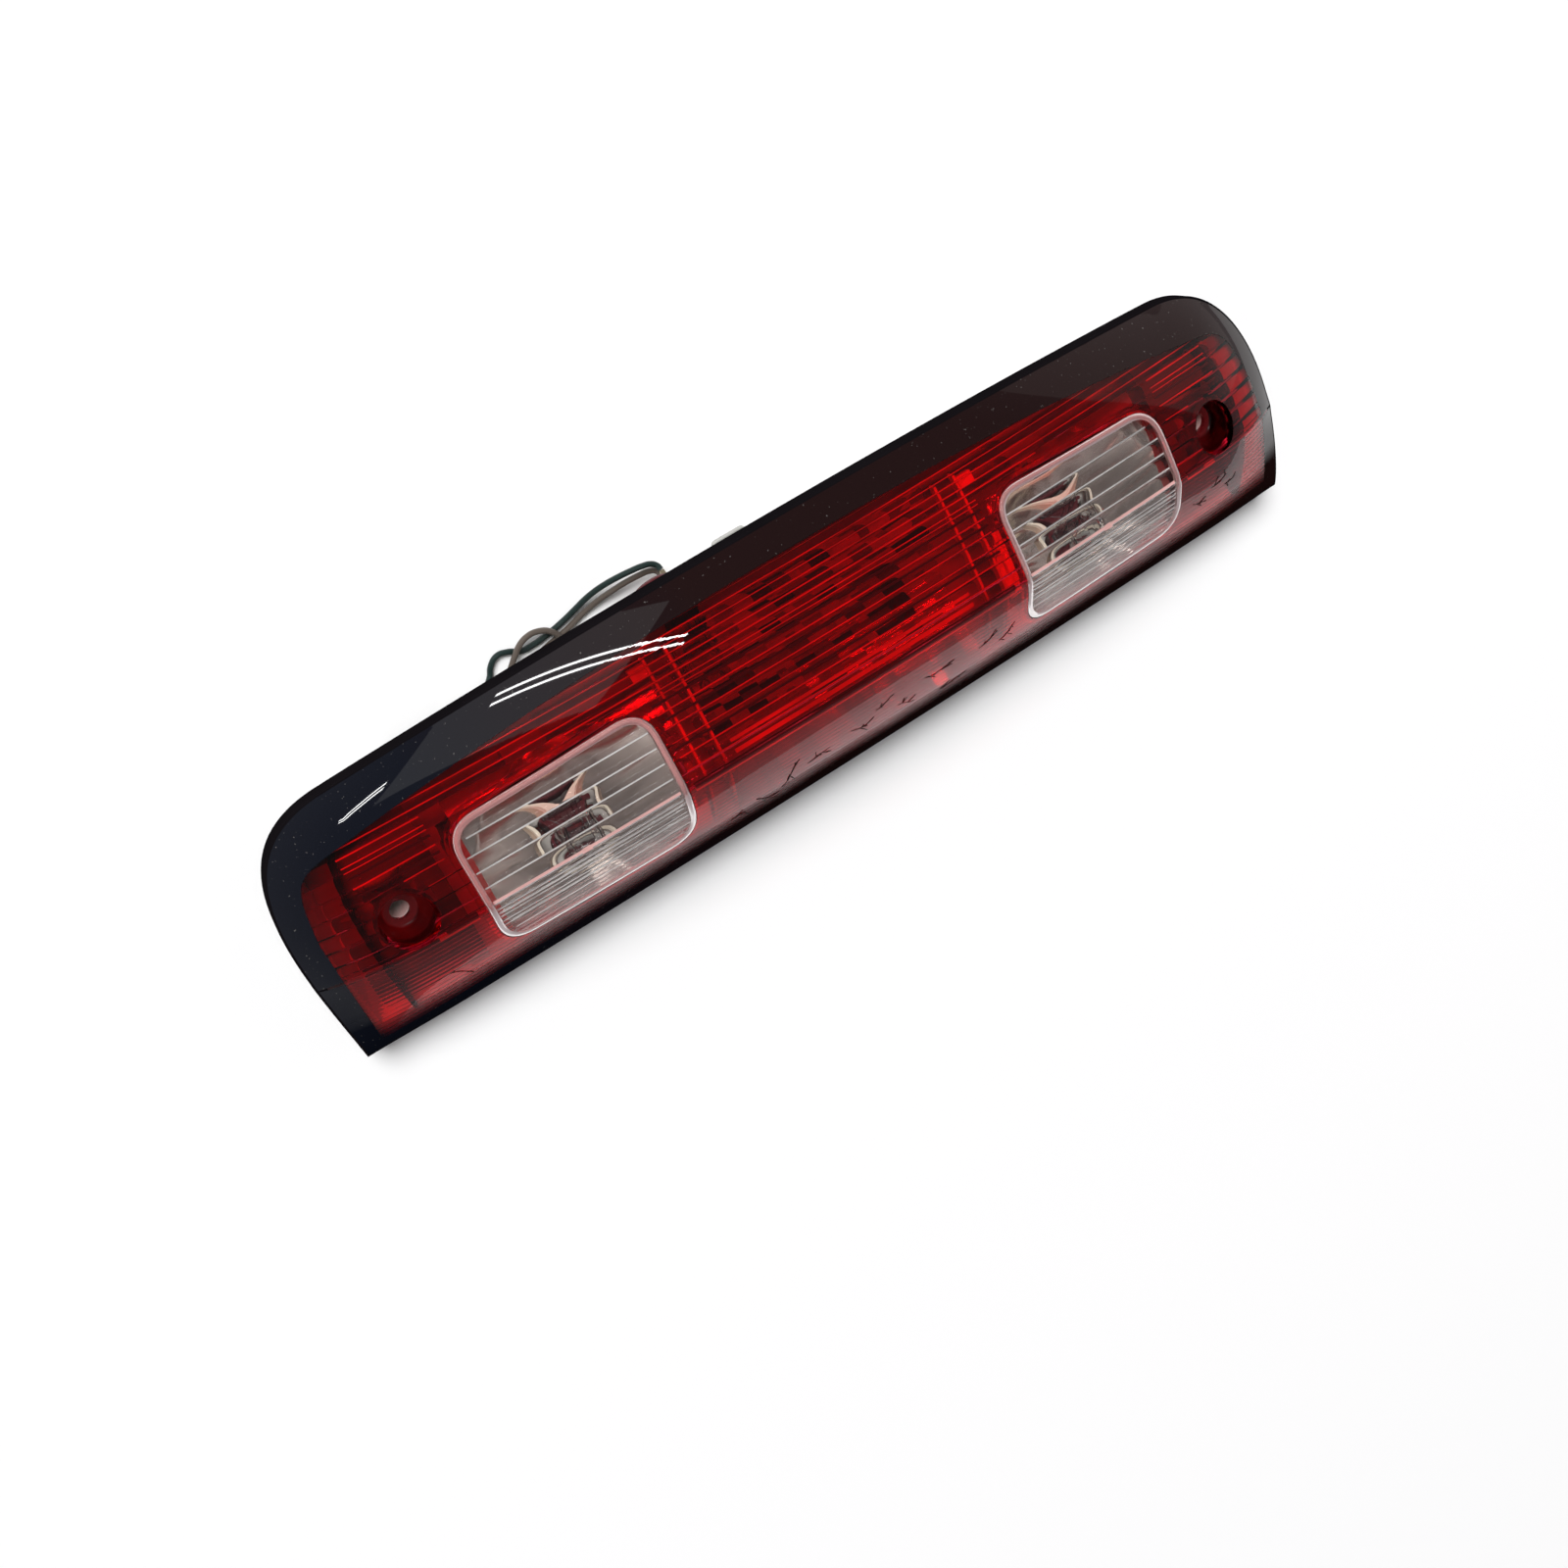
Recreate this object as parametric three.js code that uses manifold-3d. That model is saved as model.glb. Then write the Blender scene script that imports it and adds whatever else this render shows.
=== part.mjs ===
// Third brake light for the rear of a pickup cab: a crowned red lens with two clear cargo-lamp
// windows, a grey rear housing, three reflectors, three twist-lock bulb sockets and their pigtail.
// Millimetres. The lamp lies on its back: X runs along its length, +Y is its upper edge when it
// is mounted, +Z is the way the light leaves it. The origin is the middle of the underside.
import * as THREE from 'three';
import { mergeVertices } from 'three/addons/utils/BufferGeometryUtils.js';
import Module from 'manifold-3d';

const wasm = await Module();
wasm.setup();

// ---------------------------------------------------------------- driving dimensions
const HALF_LENGTH = 213;        // overall half length and half width, for insets
const HALF_WIDTH = 53;
const NEAR_HALF = 211;          // half length of the straight lower edge
const NEAR_Y = -53.1;           // its sharp corners
const NEAR_BOW = 1.45;          // how far its middle lies inside the line of the corners
const FAR_HALF = 175.5;         // half length of the upper edge, up to the round corners
const FAR_Y = 42.4;             // where the upper edge meets the round corners
const FAR_BOW = 10.7;           // how far its middle stands out beyond them
const END_PULL = [[212.2, -5.3], [223.4, 37.9]];   // bezier handles of the round end
const RIM_NEAR = 23.3;          // height of the rim at mid length, lower edge
const RIM_FAR = 40.6;           // and upper edge
const RIM_SWELL = 40;           // swell of the rim surface between the two edges
const CROWN_NEAR = 1.4e-4;      // lengthwise crown of the two edges, mm per mm squared
const CROWN_FAR = 6.9e-4;
const RIDGE_Z = 56;             // the crease that runs the length of the lens
const RIDGE_Y = -11.2;
const RIDGE_CROWN = 4.56e-4;
const RIDGE_DRIFT = 1.18e-4;    // the crease falls towards the lower edge at the ends
const RIDGE_SHARE = 0.386;      // share of the width below the crease
const FACE_TILT = 0.10;         // upper face: slope at the crease and how it curves on
const FACE_CURVE = 0.0021;
const ROLL = 45;                // width of the rolled border round the ends and upper edge
const ROLL_POWER = 2.2;
const LENS_T = 2.6;             // moulding thickness of the lens
const SKIRT = 6;                // depth of the lens wall below its rim
const GAP = 0.3;                // clearance between pieces that meet
const WALL = 2.5;               // moulding thickness of the rear housing

const WINDOW = { inner: 73, outer: 150.5, low: -35.5, highInner: 21.5, highOuter: 17, corner: 12 };
const WINDOW_RIM = { width: 2.2, proud: 0.9 };
const BOWL = { x: 175, y: -4.6, top: 10, foot: 6.8, seat: 29, hole: 3.5, wall: 1.8 };
const RIBS = [55.5, 64];        // light-guide ribs under the lens, both sides
const RIB = { t: 1.5, depth: 12, low: -36, high: 33 };

const TUB_END = 158;            // the deep part of the housing ends here
const END_FLOOR = 12.5;         // inner floor of the shallow ends
const FLANGE_OUT = LENS_T + 0.6;        // the flange starts this far inside the lens outline
const FLANGE_IN = 11;                   // and ends this far inside it
const FLANGE_DROP = LENS_T + GAP;       // it lies this far below the lens rim
const FAR_WALL_RUN = 24;        // the upper wall of the tub leans inwards this much
const BOSS_R = 7;               // posts that carry the screw bowls
const TAB = { x: -16, half: 6.8, y0: 40, y1: 52.5, z: 29.3, t: 2.6 };   // locating tab
const GASKET = { outer: 3.5, inner: 5.6, t: 2, clear: 0.7 };

const CARGO_X = 110;            // cargo bulbs stand upright under the windows
const CARGO_Y = -12;
const WELL = { r: 16.5, wall: 2, top: 17 };         // socket wells in the housing back
const CHANNEL = { half: 6, top: 9.5, roof: 2, end: 24.2 };      // and their wire channels
const BRAKE_SEAT = [-43.5, 33.5, 17.5];             // brake bulb leans in through the upper wall
const BRAKE_LEAN = Math.atan2(0.8, 0.6);            // its angle from upright
const SEAT_PAD = { r: 15, frame: 13, rise: 3 };     // framed pad round the brake socket

const SHELL = 1.5;              // thickness of the reflectors
const CARGO_BOWL = { x0: 66.3, x1: 146, y0: -38, y1: 23, z: 22.6, curve: 0.0115, clear: 5 };
const TROUGH = {
  half: 54.6, y0: -39, y1: 32, z: 13, middle: -2, curve: 0.0115, ends: 0.003, clear: 5.5,
};

const SOCKET = {
  hole: 9.7, neck: 9.2, flange: 12.6, lug: 11.2, lugSweep: 0.5, lugs: 3, tail: 8.2, grip: 11.6,
  flangeTop: -1.8, flangeFoot: -3.8, foot: -11.8, lugFoot: 2.9, lugTop: 4.7, top: 6.5,
};
const BULB = { r: 7.6, glass: 0.7, foot: 7.8, top: 26.5, wedge: [7.4, 2.4] };
const CONTACT = { half: 0.8, out: 2.3, deep: 2.4 };
const WIRE_R = 1.1;
const LIE = WIRE_R + 0.1;       // height of a wire that lies on the surface under the lamp
const PLUG = { x0: -150, x1: -126, y0: 27.8, y1: 38.2, z1: 9 };
const LATCH = { pivot: -138, half: 9.5, y: 33, width: 4.4, z: 10.2, t: 1.2 };

// ---------------------------------------------------------------- surfaces of the lamp
const mix = (a, b, t) => a + (b - a) * t;
const bezier = (a, b, c, d, t) => {
  const s = 1 - t;
  return s * s * s * a + 3 * s * s * t * b + 3 * s * t * t * c + t * t * t * d;
};
const endPoint = (t) => [
  bezier(NEAR_HALF, END_PULL[0][0], END_PULL[1][0], FAR_HALF, t),
  bezier(NEAR_Y, END_PULL[0][1], END_PULL[1][1], FAR_Y, t),
];
const nearY = (x) => NEAR_Y + NEAR_BOW * (1 - (x / NEAR_HALF) ** 2);
const farY = (x) => FAR_Y + FAR_BOW * (1 - (x / FAR_HALF) ** 2);

// Height of the rim surface; share runs from 0 on the lower edge to 1 on the upper edge.
function rimZ(x, share) {
  const crown = mix(CROWN_NEAR, CROWN_FAR, share);
  return mix(RIM_NEAR, RIM_FAR, share) + RIM_SWELL * share * (1 - share) - crown * x * x;
}
// Share of the width at a place in plan.
function shareAt(x, y) {
  const top = farY(Math.min(Math.abs(x), FAR_HALF));
  return Math.min(1, Math.max(0, (y - nearY(x)) / (top - nearY(x))));
}
const ridgeY = (x) => RIDGE_Y - RIDGE_DRIFT * x * x;
const ridgeZ = (x) => RIDGE_Z - RIDGE_CROWN * x * x;

// The two faces of the lens before the border rolls off: the band below the crease, the face above.
function faceZ(x, y) {
  const up = y - ridgeY(x);
  if (up >= 0) return ridgeZ(x) - FACE_TILT * up - FACE_CURVE * up * up;
  const t = -up / (ridgeY(x) - nearY(x));
  return ridgeZ(x) - (ridgeZ(x) - rimZ(x, 0)) * (0.6 * t + 0.4 * t * t);
}

// The rolled border: each point of the outline with how far the face must come down to meet it.
const border = [];
for (let i = 0; i <= 60; i += 1) {
  const [x, y] = endPoint(i / 60);
  const share = (y - NEAR_Y) / (FAR_Y - NEAR_Y);
  border.push([x, y, faceZ(x, y) - rimZ(x, share)]);
}
for (let i = 1; i <= 40; i += 1) {
  const x = FAR_HALF * (1 - i / 40);
  border.push([x, farY(x), faceZ(x, farY(x)) - rimZ(x, 1)]);
}
function lensZ(x, y) {
  const ax = Math.abs(x);
  let best = Infinity;
  let drop = 0;
  for (const [bx, by, d] of border) {
    const dist = Math.hypot(ax - bx, y - by);
    if (dist < best) {
      best = dist;
      drop = d;
    }
  }
  const w = Math.max(0, 1 - best / ROLL) ** ROLL_POWER;
  return faceZ(ax, y) - drop * w;
}

// Plan position from u (-1 to 1 along the lamp) and share (0 lower edge, 1 upper edge), moved
// inwards from the outline by inset.
function plan(u, share, inset = 0) {
  let lo = 0;
  let hi = 1;
  const target = mix(NEAR_Y, FAR_Y, share);
  for (let i = 0; i < 30; i += 1) {
    const mid = (lo + hi) / 2;
    if (endPoint(mid)[1] < target) lo = mid;
    else hi = mid;
  }
  const bow = (1 - share) * NEAR_BOW + share * FAR_BOW;
  const x = u * endPoint((lo + hi) / 2)[0];
  const y = target + bow * (1 - u * u);
  return [x * (1 - inset / HALF_LENGTH), y * (1 - inset / HALF_WIDTH)];
}

// ---------------------------------------------------------------- geometry helpers
function geometryFrom(points, faces) {
  const g = new THREE.BufferGeometry();
  g.setAttribute('position', new THREE.Float32BufferAttribute(points.flat(), 3));
  g.setIndex(faces.flat());
  return g;
}

// A closed solid between an upper and a lower grid of the same size; extra rings may lie between
// the two rims.
function gridSolid(us, vs, upper, lower, ringsBetween = []) {
  const points = [];
  const faces = [];
  const nu = us.length;
  const nv = vs.length;
  const edge = [];
  for (let i = 0; i < nu - 1; i += 1) edge.push([i, 0]);
  for (let j = 0; j < nv - 1; j += 1) edge.push([nu - 1, j]);
  for (let i = nu - 1; i > 0; i -= 1) edge.push([i, nv - 1]);
  for (let j = nv - 1; j > 0; j -= 1) edge.push([0, j]);
  const layer = (f, flip) => {
    const start = points.length;
    for (let j = 0; j < nv; j += 1) for (let i = 0; i < nu; i += 1) points.push(f(i, j));
    for (let j = 0; j < nv - 1; j += 1) {
      for (let i = 0; i < nu - 1; i += 1) {
        const a = start + j * nu + i;
        const quad = [[a, a + 1, a + nu + 1], [a, a + nu + 1, a + nu]];
        for (const t of quad) faces.push(flip ? [t[0], t[2], t[1]] : t);
      }
    }
    return edge.map(([i, j]) => start + j * nu + i);
  };
  const loops = [layer(upper, false)];
  for (const ring of ringsBetween) {
    loops.push(edge.map(([i, j]) => points.push(ring(i, j)) - 1));
  }
  loops.push(layer(lower, true));
  for (let k = 0; k < loops.length - 1; k += 1) {
    edge.forEach((_, n) => {
      const m = (n + 1) % edge.length;
      const [a, b, c, d] = [loops[k][n], loops[k][m], loops[k + 1][m], loops[k + 1][n]];
      faces.push([a, c, b], [a, d, c]);
    });
  }
  return geometryFrom(points, faces);
}

// A closed ring swept round a plan loop; section(n) gives its corners, in order.
function ringSolid(count, section) {
  const rows = [];
  for (let n = 0; n < count; n += 1) rows.push(section(n));
  const k = rows[0].length;
  const faces = [];
  for (let n = 0; n < count; n += 1) {
    const m = (n + 1) % count;
    for (let a = 0; a < k; a += 1) {
      const b = (a + 1) % k;
      faces.push([n * k + a, m * k + a, m * k + b], [n * k + a, m * k + b, n * k + b]);
    }
  }
  return geometryFrom(rows.flat(), faces);
}

function solid(geometry) {
  const g = geometry.clone();
  g.deleteAttribute('normal');
  g.deleteAttribute('uv');
  const merged = mergeVertices(g, 1e-4);
  return new wasm.Manifold(new wasm.Mesh({
    numProp: 3,
    vertProperties: new Float32Array(merged.attributes.position.array),
    triVerts: new Uint32Array(merged.index.array),
  }));
}
function geometryOf(body) {
  const mesh = body.getMesh();
  const g = new THREE.BufferGeometry();
  g.setAttribute('position', new THREE.BufferAttribute(new Float32Array(mesh.vertProperties), 3));
  g.setIndex(new THREE.BufferAttribute(new Uint32Array(mesh.triVerts), 1));
  return g;
}
const cut = (body, ...tools) => tools.reduce((a, b) => a.subtract(b), body);
const join = (body, ...more) => more.reduce((a, b) => a.add(b), body);

// An upright cylinder or cone between two heights, r1 at the foot and r2 at the top.
function post(x, y, z0, z1, r1, r2 = r1, sides = 24) {
  const g = new THREE.CylinderGeometry(r2, r1, z1 - z0, sides);
  g.rotateX(Math.PI / 2);
  g.translate(x, y, (z0 + z1) / 2);
  return g;
}
function block(x0, x1, y0, y1, z0, z1) {
  const g = new THREE.BoxGeometry(x1 - x0, y1 - y0, z1 - z0);
  g.translate((x0 + x1) / 2, (y0 + y1) / 2, (z0 + z1) / 2);
  return g;
}
function prism(shape, z0, z1, curveSegments = 5) {
  const g = new THREE.ExtrudeGeometry(shape, { depth: z1 - z0, bevelEnabled: false, curveSegments });
  g.translate(0, 0, z0);
  return g;
}
// A solid of revolution about the local z axis; the profile is [radius, height] pairs.
function turned(profile, sides = 20) {
  const g = new THREE.LatheGeometry(profile.map(([r, h]) => new THREE.Vector2(r, h)), sides);
  g.rotateX(Math.PI / 2);
  return g;
}

const group = new THREE.Group();
function add(name, geometry, color, roughness = 0.5, metalness = 0, matrix = null) {
  const material = new THREE.MeshStandardMaterial({ color, roughness, metalness });
  const mesh = new THREE.Mesh(geometry, material);
  mesh.name = name;
  if (matrix) mesh.applyMatrix4(matrix);
  group.add(mesh);
}

// ---------------------------------------------------------------- outer lens and clear windows
// A window's outline, grown outwards by grow; side is -1 left, 1 right.
function windowShape(side, grow) {
  const w = WINDOW;
  const corners = [
    [w.inner - grow, w.low - grow], [w.outer + grow, w.low - grow],
    [w.outer + grow, w.highOuter + grow], [w.inner - grow, w.highInner + grow],
  ].map(([x, y]) => new THREE.Vector2(side * x, y));
  if (side < 0) corners.reverse();
  const radius = w.corner + grow;
  const shape = new THREE.Shape();
  corners.forEach((p, i) => {
    const back = corners[(i + 3) % 4].clone().sub(p).setLength(radius).add(p);
    const ahead = corners[(i + 1) % 4].clone().sub(p).setLength(radius).add(p);
    if (i === 0) shape.moveTo(back.x, back.y);
    else shape.lineTo(back.x, back.y);
    shape.quadraticCurveTo(p.x, p.y, ahead.x, ahead.y);
  });
  shape.closePath();
  return shape;
}

const even = (n, a, b) => Array.from({ length: n + 1 }, (_, i) => mix(a, b, i / n));
const lensShares = [0, 0.1, 0.2, 0.3, RIDGE_SHARE, 0.5, 0.62, 0.74, 0.85, 0.93, 0.98, 1];
const lensUs = [-1, -0.97, -0.93, ...even(20, -0.87, 0.87), 0.93, 0.97, 1];

function lensSolid() {
  const at = (i, j, inset) => plan(lensUs[i], lensShares[j], inset);
  const outer = (i, j) => {
    const [x, y] = at(i, j, 0);
    return [x, y, lensZ(x, y)];
  };
  const inner = (i, j) => {
    const [x, y] = at(i, j, LENS_T);
    return [x, y, lensZ(x, y) - LENS_T];
  };
  const outerFoot = (i, j) => {
    const [x, y, z] = outer(i, j);
    return [x, y, z - SKIRT];
  };
  const innerFoot = (i, j) => {
    const [x, y] = at(i, j, LENS_T);
    return [x, y, outer(i, j)[2] - SKIRT];
  };
  return solid(gridSolid(lensUs, lensShares, outer, inner, [outerFoot, innerFoot]));
}

// The space between two surfaces parallel to the lens, over one window.
function lensSlab(side, above, below) {
  const xs = even(8, side * 62, side * 162);
  if (side < 0) xs.reverse();
  const ys = [-50, -40, -30, -21, RIDGE_Y - 1.5, 0, 14, 30];
  const surface = (off) => (i, j) => [xs[i], ys[j], lensZ(xs[i], ys[j]) + off];
  return solid(gridSolid(xs, ys, surface(above), surface(below)));
}

// Clear window: a plate flush with the lens, with a rim that stands a little proud all round.
function windowSolid(side) {
  const outline = (grow) => solid(prism(windowShape(side, grow), 0, 80));
  const plate = outline(0).intersect(lensSlab(side, 0, -LENS_T - 0.4));
  const rim = outline(0).subtract(outline(-WINDOW_RIM.width));
  return plate.add(rim.intersect(lensSlab(side, WINDOW_RIM.proud, -LENS_T - 0.4)));
}

function screwBowl(side) {
  const b = BOWL;
  const x = side * b.x;
  const mouth = lensZ(b.x, b.y);
  return {
    cup: solid(post(x, b.y, b.seat - b.wall, mouth - 0.5, b.foot + b.wall, b.top + b.wall)),
    hollow: solid(post(x, b.y, b.seat, mouth + 4, b.foot, b.top + 1.1)),
    hole: solid(post(x, b.y, b.seat - 10, b.seat + 5, b.hole)),
  };
}

let lens = lensSolid();
for (const side of [-1, 1]) {
  for (const x of RIBS) {
    const under = even(6, RIB.low, RIB.high);
    const z = (y, off) => lensZ(x, y) + off;
    const across = side < 0 ? [-x - RIB.t, -x] : [x, x + RIB.t];
    lens = lens.add(solid(gridSolid(
      across,
      under,
      (i, j) => [across[i], under[j], z(under[j], -LENS_T / 2)],
      (i, j) => [across[i], under[j], z(under[j], -RIB.depth)],
    )));
  }
  const bowl = screwBowl(side);
  lens = cut(lens.add(bowl.cup), bowl.hollow, bowl.hole);
  lens = lens.subtract(solid(prism(windowShape(side, GAP), 0, 80)));
}
add('outer_lens', geometryOf(lens), 0x7d0a12, 0.12);
add('window_left', geometryOf(windowSolid(-1)), 0xd9d4d0, 0.1);
add('window_right', geometryOf(windowSolid(1)), 0xd9d4d0, 0.1);

// ---------------------------------------------------------------- rear housing
// Breakpoints of the tray: flange edge, wall top, wall foot, then the floor. Out is how far the
// outer skin lies beyond the inner one.
function trayStations(out) {
  const reach = HALF_LENGTH - FLANGE_OUT;
  const rim = FLANGE_IN - FLANGE_OUT - out;
  const half = [reach, reach - rim, reach - rim - 5, TUB_END + 8 + out, TUB_END + out, 120, 80, 40];
  const us = [...half.map((x) => -x / reach), 0, ...half.slice().reverse().map((x) => x / reach)];
  const low = [0, rim, rim + 6, 30, 50];
  const high = [rim + FAR_WALL_RUN, rim + FAR_WALL_RUN / 2, rim, 0];
  const width = 2 * (HALF_WIDTH - FLANGE_OUT);
  const shares = [...low.map((d) => d / width), ...high.map((d) => 1 - d / width)];
  return { us, shares };
}
function traySurface(out, lower) {
  const { us, shares } = trayStations(out);
  const nu = us.length;
  const nv = shares.length;
  return (i, j) => {
    const [x, y] = plan(us[i], shares[j], FLANGE_OUT);
    const rim = rimZ(x, shareAt(x, y));
    const flange = rim - FLANGE_DROP;
    const fromEnd = Math.min(i, nu - 1 - i);
    const endLevel = [flange, flange, END_FLOOR, END_FLOOR][fromEnd] ?? WALL;
    let acrossLevel = WALL;
    if (j < 2 || j > nv - 3) acrossLevel = flange;
    if (j === nv - 3) acrossLevel = mix(WALL, flange, 0.5);
    return [x, y, Math.max(endLevel, acrossLevel) - lower];
  };
}

// Places a socket: local z points along the bulb, the origin is the outer face of its wall.
const upright = (x) => new THREE.Matrix4().makeTranslation(x, CARGO_Y, WELL.top);
const leaning = new THREE.Matrix4()
  .makeTranslation(...BRAKE_SEAT)
  .multiply(new THREE.Matrix4().makeRotationX(BRAKE_LEAN));
const SEATS = {
  cargo_left: upright(-CARGO_X),
  cargo_right: upright(CARGO_X),
  brake: leaning,
};

// Round hole with a notch for each lug, turned to where the lugs line up when the socket is
// turned back to its release stop.
const RELEASE = THREE.MathUtils.degToRad(40);
function keyhole(matrix, depth0, depth1) {
  let hole = solid(post(0, 0, depth0, depth1, SOCKET.hole));
  for (let k = 0; k < SOCKET.lugs; k += 1) {
    const notch = lugShape(k * 2 * Math.PI / SOCKET.lugs + RELEASE, SOCKET.lug + 0.5, 0.09);
    hole = hole.add(solid(prism(notch, depth0, depth1)));
  }
  return hole.transform(matrix.elements);
}
// A sector from the neck to the lug radius, centred on the angle.
function lugShape(angle, radius, spare) {
  const half = SOCKET.lugSweep / 2 + spare;
  const shape = new THREE.Shape();
  shape.moveTo(6 * Math.cos(angle - half), 6 * Math.sin(angle - half));
  for (const a of even(3, angle - half, angle + half)) {
    shape.lineTo(radius * Math.cos(a), radius * Math.sin(a));
  }
  shape.lineTo(6 * Math.cos(angle + half), 6 * Math.sin(angle + half));
  shape.closePath();
  return shape;
}

const outerStations = trayStations(WALL * 0.7);
let housing = solid(gridSolid(
  outerStations.us,
  outerStations.shares,
  traySurface(0, 0),
  traySurface(WALL * 0.7, WALL),
));

// Wells for the upright sockets, each with a channel for its two wires to the upper edge.
for (const side of [-1, 1]) {
  const x = side * CARGO_X;
  const c = CHANNEL;
  const well = solid(post(x, CARGO_Y, 0, WELL.top + WALL, WELL.r + WELL.wall));
  const roofHalf = c.half + c.roof;
  const roof = solid(block(x - roofHalf, x + roofHalf, CARGO_Y, c.end, 0, c.top + c.roof));
  const hollow = solid(post(x, CARGO_Y, -1, WELL.top, WELL.r));
  const channel = solid(block(x - c.half, x + c.half, CARGO_Y, c.end + 8, -1, c.top));
  const matrix = side < 0 ? SEATS.cargo_left : SEATS.cargo_right;
  housing = cut(join(housing, well, roof), hollow, channel, keyhole(matrix, -1, WALL + 1));

  const boss = post(side * BOWL.x, BOWL.y, END_FLOOR - WALL, BOWL.seat - BOWL.wall - GAP, BOSS_R);
  const bore = post(side * BOWL.x, BOWL.y, 0, 60, BOWL.hole);
  housing = cut(housing.add(solid(boss)), solid(bore));
}

// Seat of the brake socket: a pad in the leaning wall with a raised frame round it.
const pad = solid(post(0, 0, -SEAT_PAD.rise, WALL, SEAT_PAD.r)).transform(leaning.elements);
const padHollow = solid(post(0, 0, -9, 0, SEAT_PAD.frame)).transform(leaning.elements);
const padThrough = solid(post(0, 0, WALL, 12, SEAT_PAD.frame)).transform(leaning.elements);
housing = cut(housing.add(pad), padHollow, padThrough, keyhole(leaning, -1, WALL + 1));

// Locating tab that hooks behind the edge of the opening in the cab.
const tabShape = new THREE.Shape();
tabShape.moveTo(TAB.x - TAB.half, TAB.y0);
tabShape.lineTo(TAB.x + TAB.half, TAB.y0);
tabShape.lineTo(TAB.x + TAB.half, TAB.y1 - 2);
tabShape.quadraticCurveTo(TAB.x + TAB.half, TAB.y1, TAB.x + TAB.half - 2, TAB.y1);
tabShape.lineTo(TAB.x - TAB.half + 2, TAB.y1);
tabShape.quadraticCurveTo(TAB.x - TAB.half, TAB.y1, TAB.x - TAB.half, TAB.y1 - 2);
tabShape.closePath();
housing = housing.add(solid(prism(tabShape, TAB.z, TAB.z + TAB.t)));
add('rear_housing', geometryOf(housing), 0xb9bab6, 0.6);

// ---------------------------------------------------------------- foam gasket under the flange
// Points round the outline, inset from it.
function outline(inset) {
  const ends = [0, 0.07, ...even(8, 0.15, 0.85), 0.92, 0.97];
  const along = even(16, -1, 1).slice(0, 16);
  return [
    ...along.map((u) => plan(u, 0, inset)),
    ...ends.map((v) => plan(1, v, inset)),
    ...along.map((u) => plan(-u, 1, inset)),
    ...ends.map((v) => plan(-1, 1 - v, inset)),
  ];
}
const gasketOuter = outline(GASKET.outer);
const gasketInner = outline(GASKET.inner);
add('body_gasket', ringSolid(gasketOuter.length, (n) => {
  const corner = ([x, y], down) => [x, y, rimZ(x, shareAt(x, y)) - down];
  const top = FLANGE_DROP + WALL + GASKET.clear;
  return [
    corner(gasketInner[n], top), corner(gasketInner[n], top + GASKET.t),
    corner(gasketOuter[n], top + GASKET.t), corner(gasketOuter[n], top),
  ];
}), 0x1d1e20, 0.95);

// ---------------------------------------------------------------- reflectors
// A bright tray: the height field z over x and y, on legs that stand on the housing floor.
function reflector(xs, ys, z, legs, opening) {
  const upper = (i, j) => [xs[i], ys[j], z(xs[i], ys[j])];
  const lower = (i, j) => [xs[i], ys[j], z(xs[i], ys[j]) - SHELL];
  let body = solid(gridSolid(xs, ys, upper, lower));
  for (const [x, y] of legs) {
    body = body.add(solid(post(x, y, WALL + GAP, z(x, y) - SHELL / 2, 2.2, 2.2, 10)));
  }
  return geometryOf(body.subtract(opening));
}

// Cargo reflectors: bowls round the upright bulbs.
for (const side of [-1, 1]) {
  const c = CARGO_BOWL;
  const xs = even(11, side * c.x0, side * c.x1);
  if (side < 0) xs.reverse();
  const ys = even(9, c.y0, c.y1);
  const z = (x, y) => {
    const r2 = (Math.abs(x) - CARGO_X) ** 2 + (y - CARGO_Y) ** 2;
    return Math.min(c.z + c.curve * r2, lensZ(x, y) - c.clear);
  };
  const legs = [[72, -30], [72, 10], [140, -30], [140, 8]].map(([x, y]) => [side * x, y]);
  const opening = solid(post(side * CARGO_X, CARGO_Y, 15, 40, 12.8, 12.8, 28));
  const name = side < 0 ? 'cargo_reflector_left' : 'cargo_reflector_right';
  add(name, reflector(xs, ys, z, legs, opening), 0xc9c8c6, 0.15, 0.9);
}

// Brake reflector: a long trough; the bulb leans in through its upper side.
const troughZ = (x, y) => Math.min(
  TROUGH.z + TROUGH.curve * (y - TROUGH.middle) ** 2 + TROUGH.ends * x * x,
  lensZ(x, y) - TROUGH.clear,
);
const bulbPath = solid(post(0, 0, SOCKET.lugTop, 24, 9.8, 9.8, 28)).transform(leaning.elements);
add('brake_reflector', reflector(
  even(14, -TROUGH.half, TROUGH.half),
  even(10, TROUGH.y0, TROUGH.y1),
  troughZ,
  [[-20, -30], [48, -30], [-8, 14], [48, 14]],
  bulbPath,
), 0xc9c8c6, 0.15, 0.9);

// ---------------------------------------------------------------- sockets, seals and bulbs
// Where the two contacts leave a socket: through its foot, or sideways towards the upper edge.
const contactBoxes = {
  foot: [1.8, -2.4].map((y) => ({
    x: [6 - CONTACT.half, 6 + CONTACT.half],
    y: [y - CONTACT.half, y + CONTACT.half],
    z: [SOCKET.foot - CONTACT.out, SOCKET.foot + CONTACT.deep],
  })),
  side: [-2.2, 2.2].map((x) => ({
    x: [x - CONTACT.half, x + CONTACT.half],
    y: [SOCKET.tail - CONTACT.deep, SOCKET.tail + CONTACT.out],
    z: [-9 - CONTACT.half, -9 + CONTACT.half],
  })),
};
const boxOf = (b, grow) => block(
  b.x[0] - grow, b.x[1] + grow, b.y[0] - grow, b.y[1] + grow, b.z[0] - grow, b.z[1] + grow,
);

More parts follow.
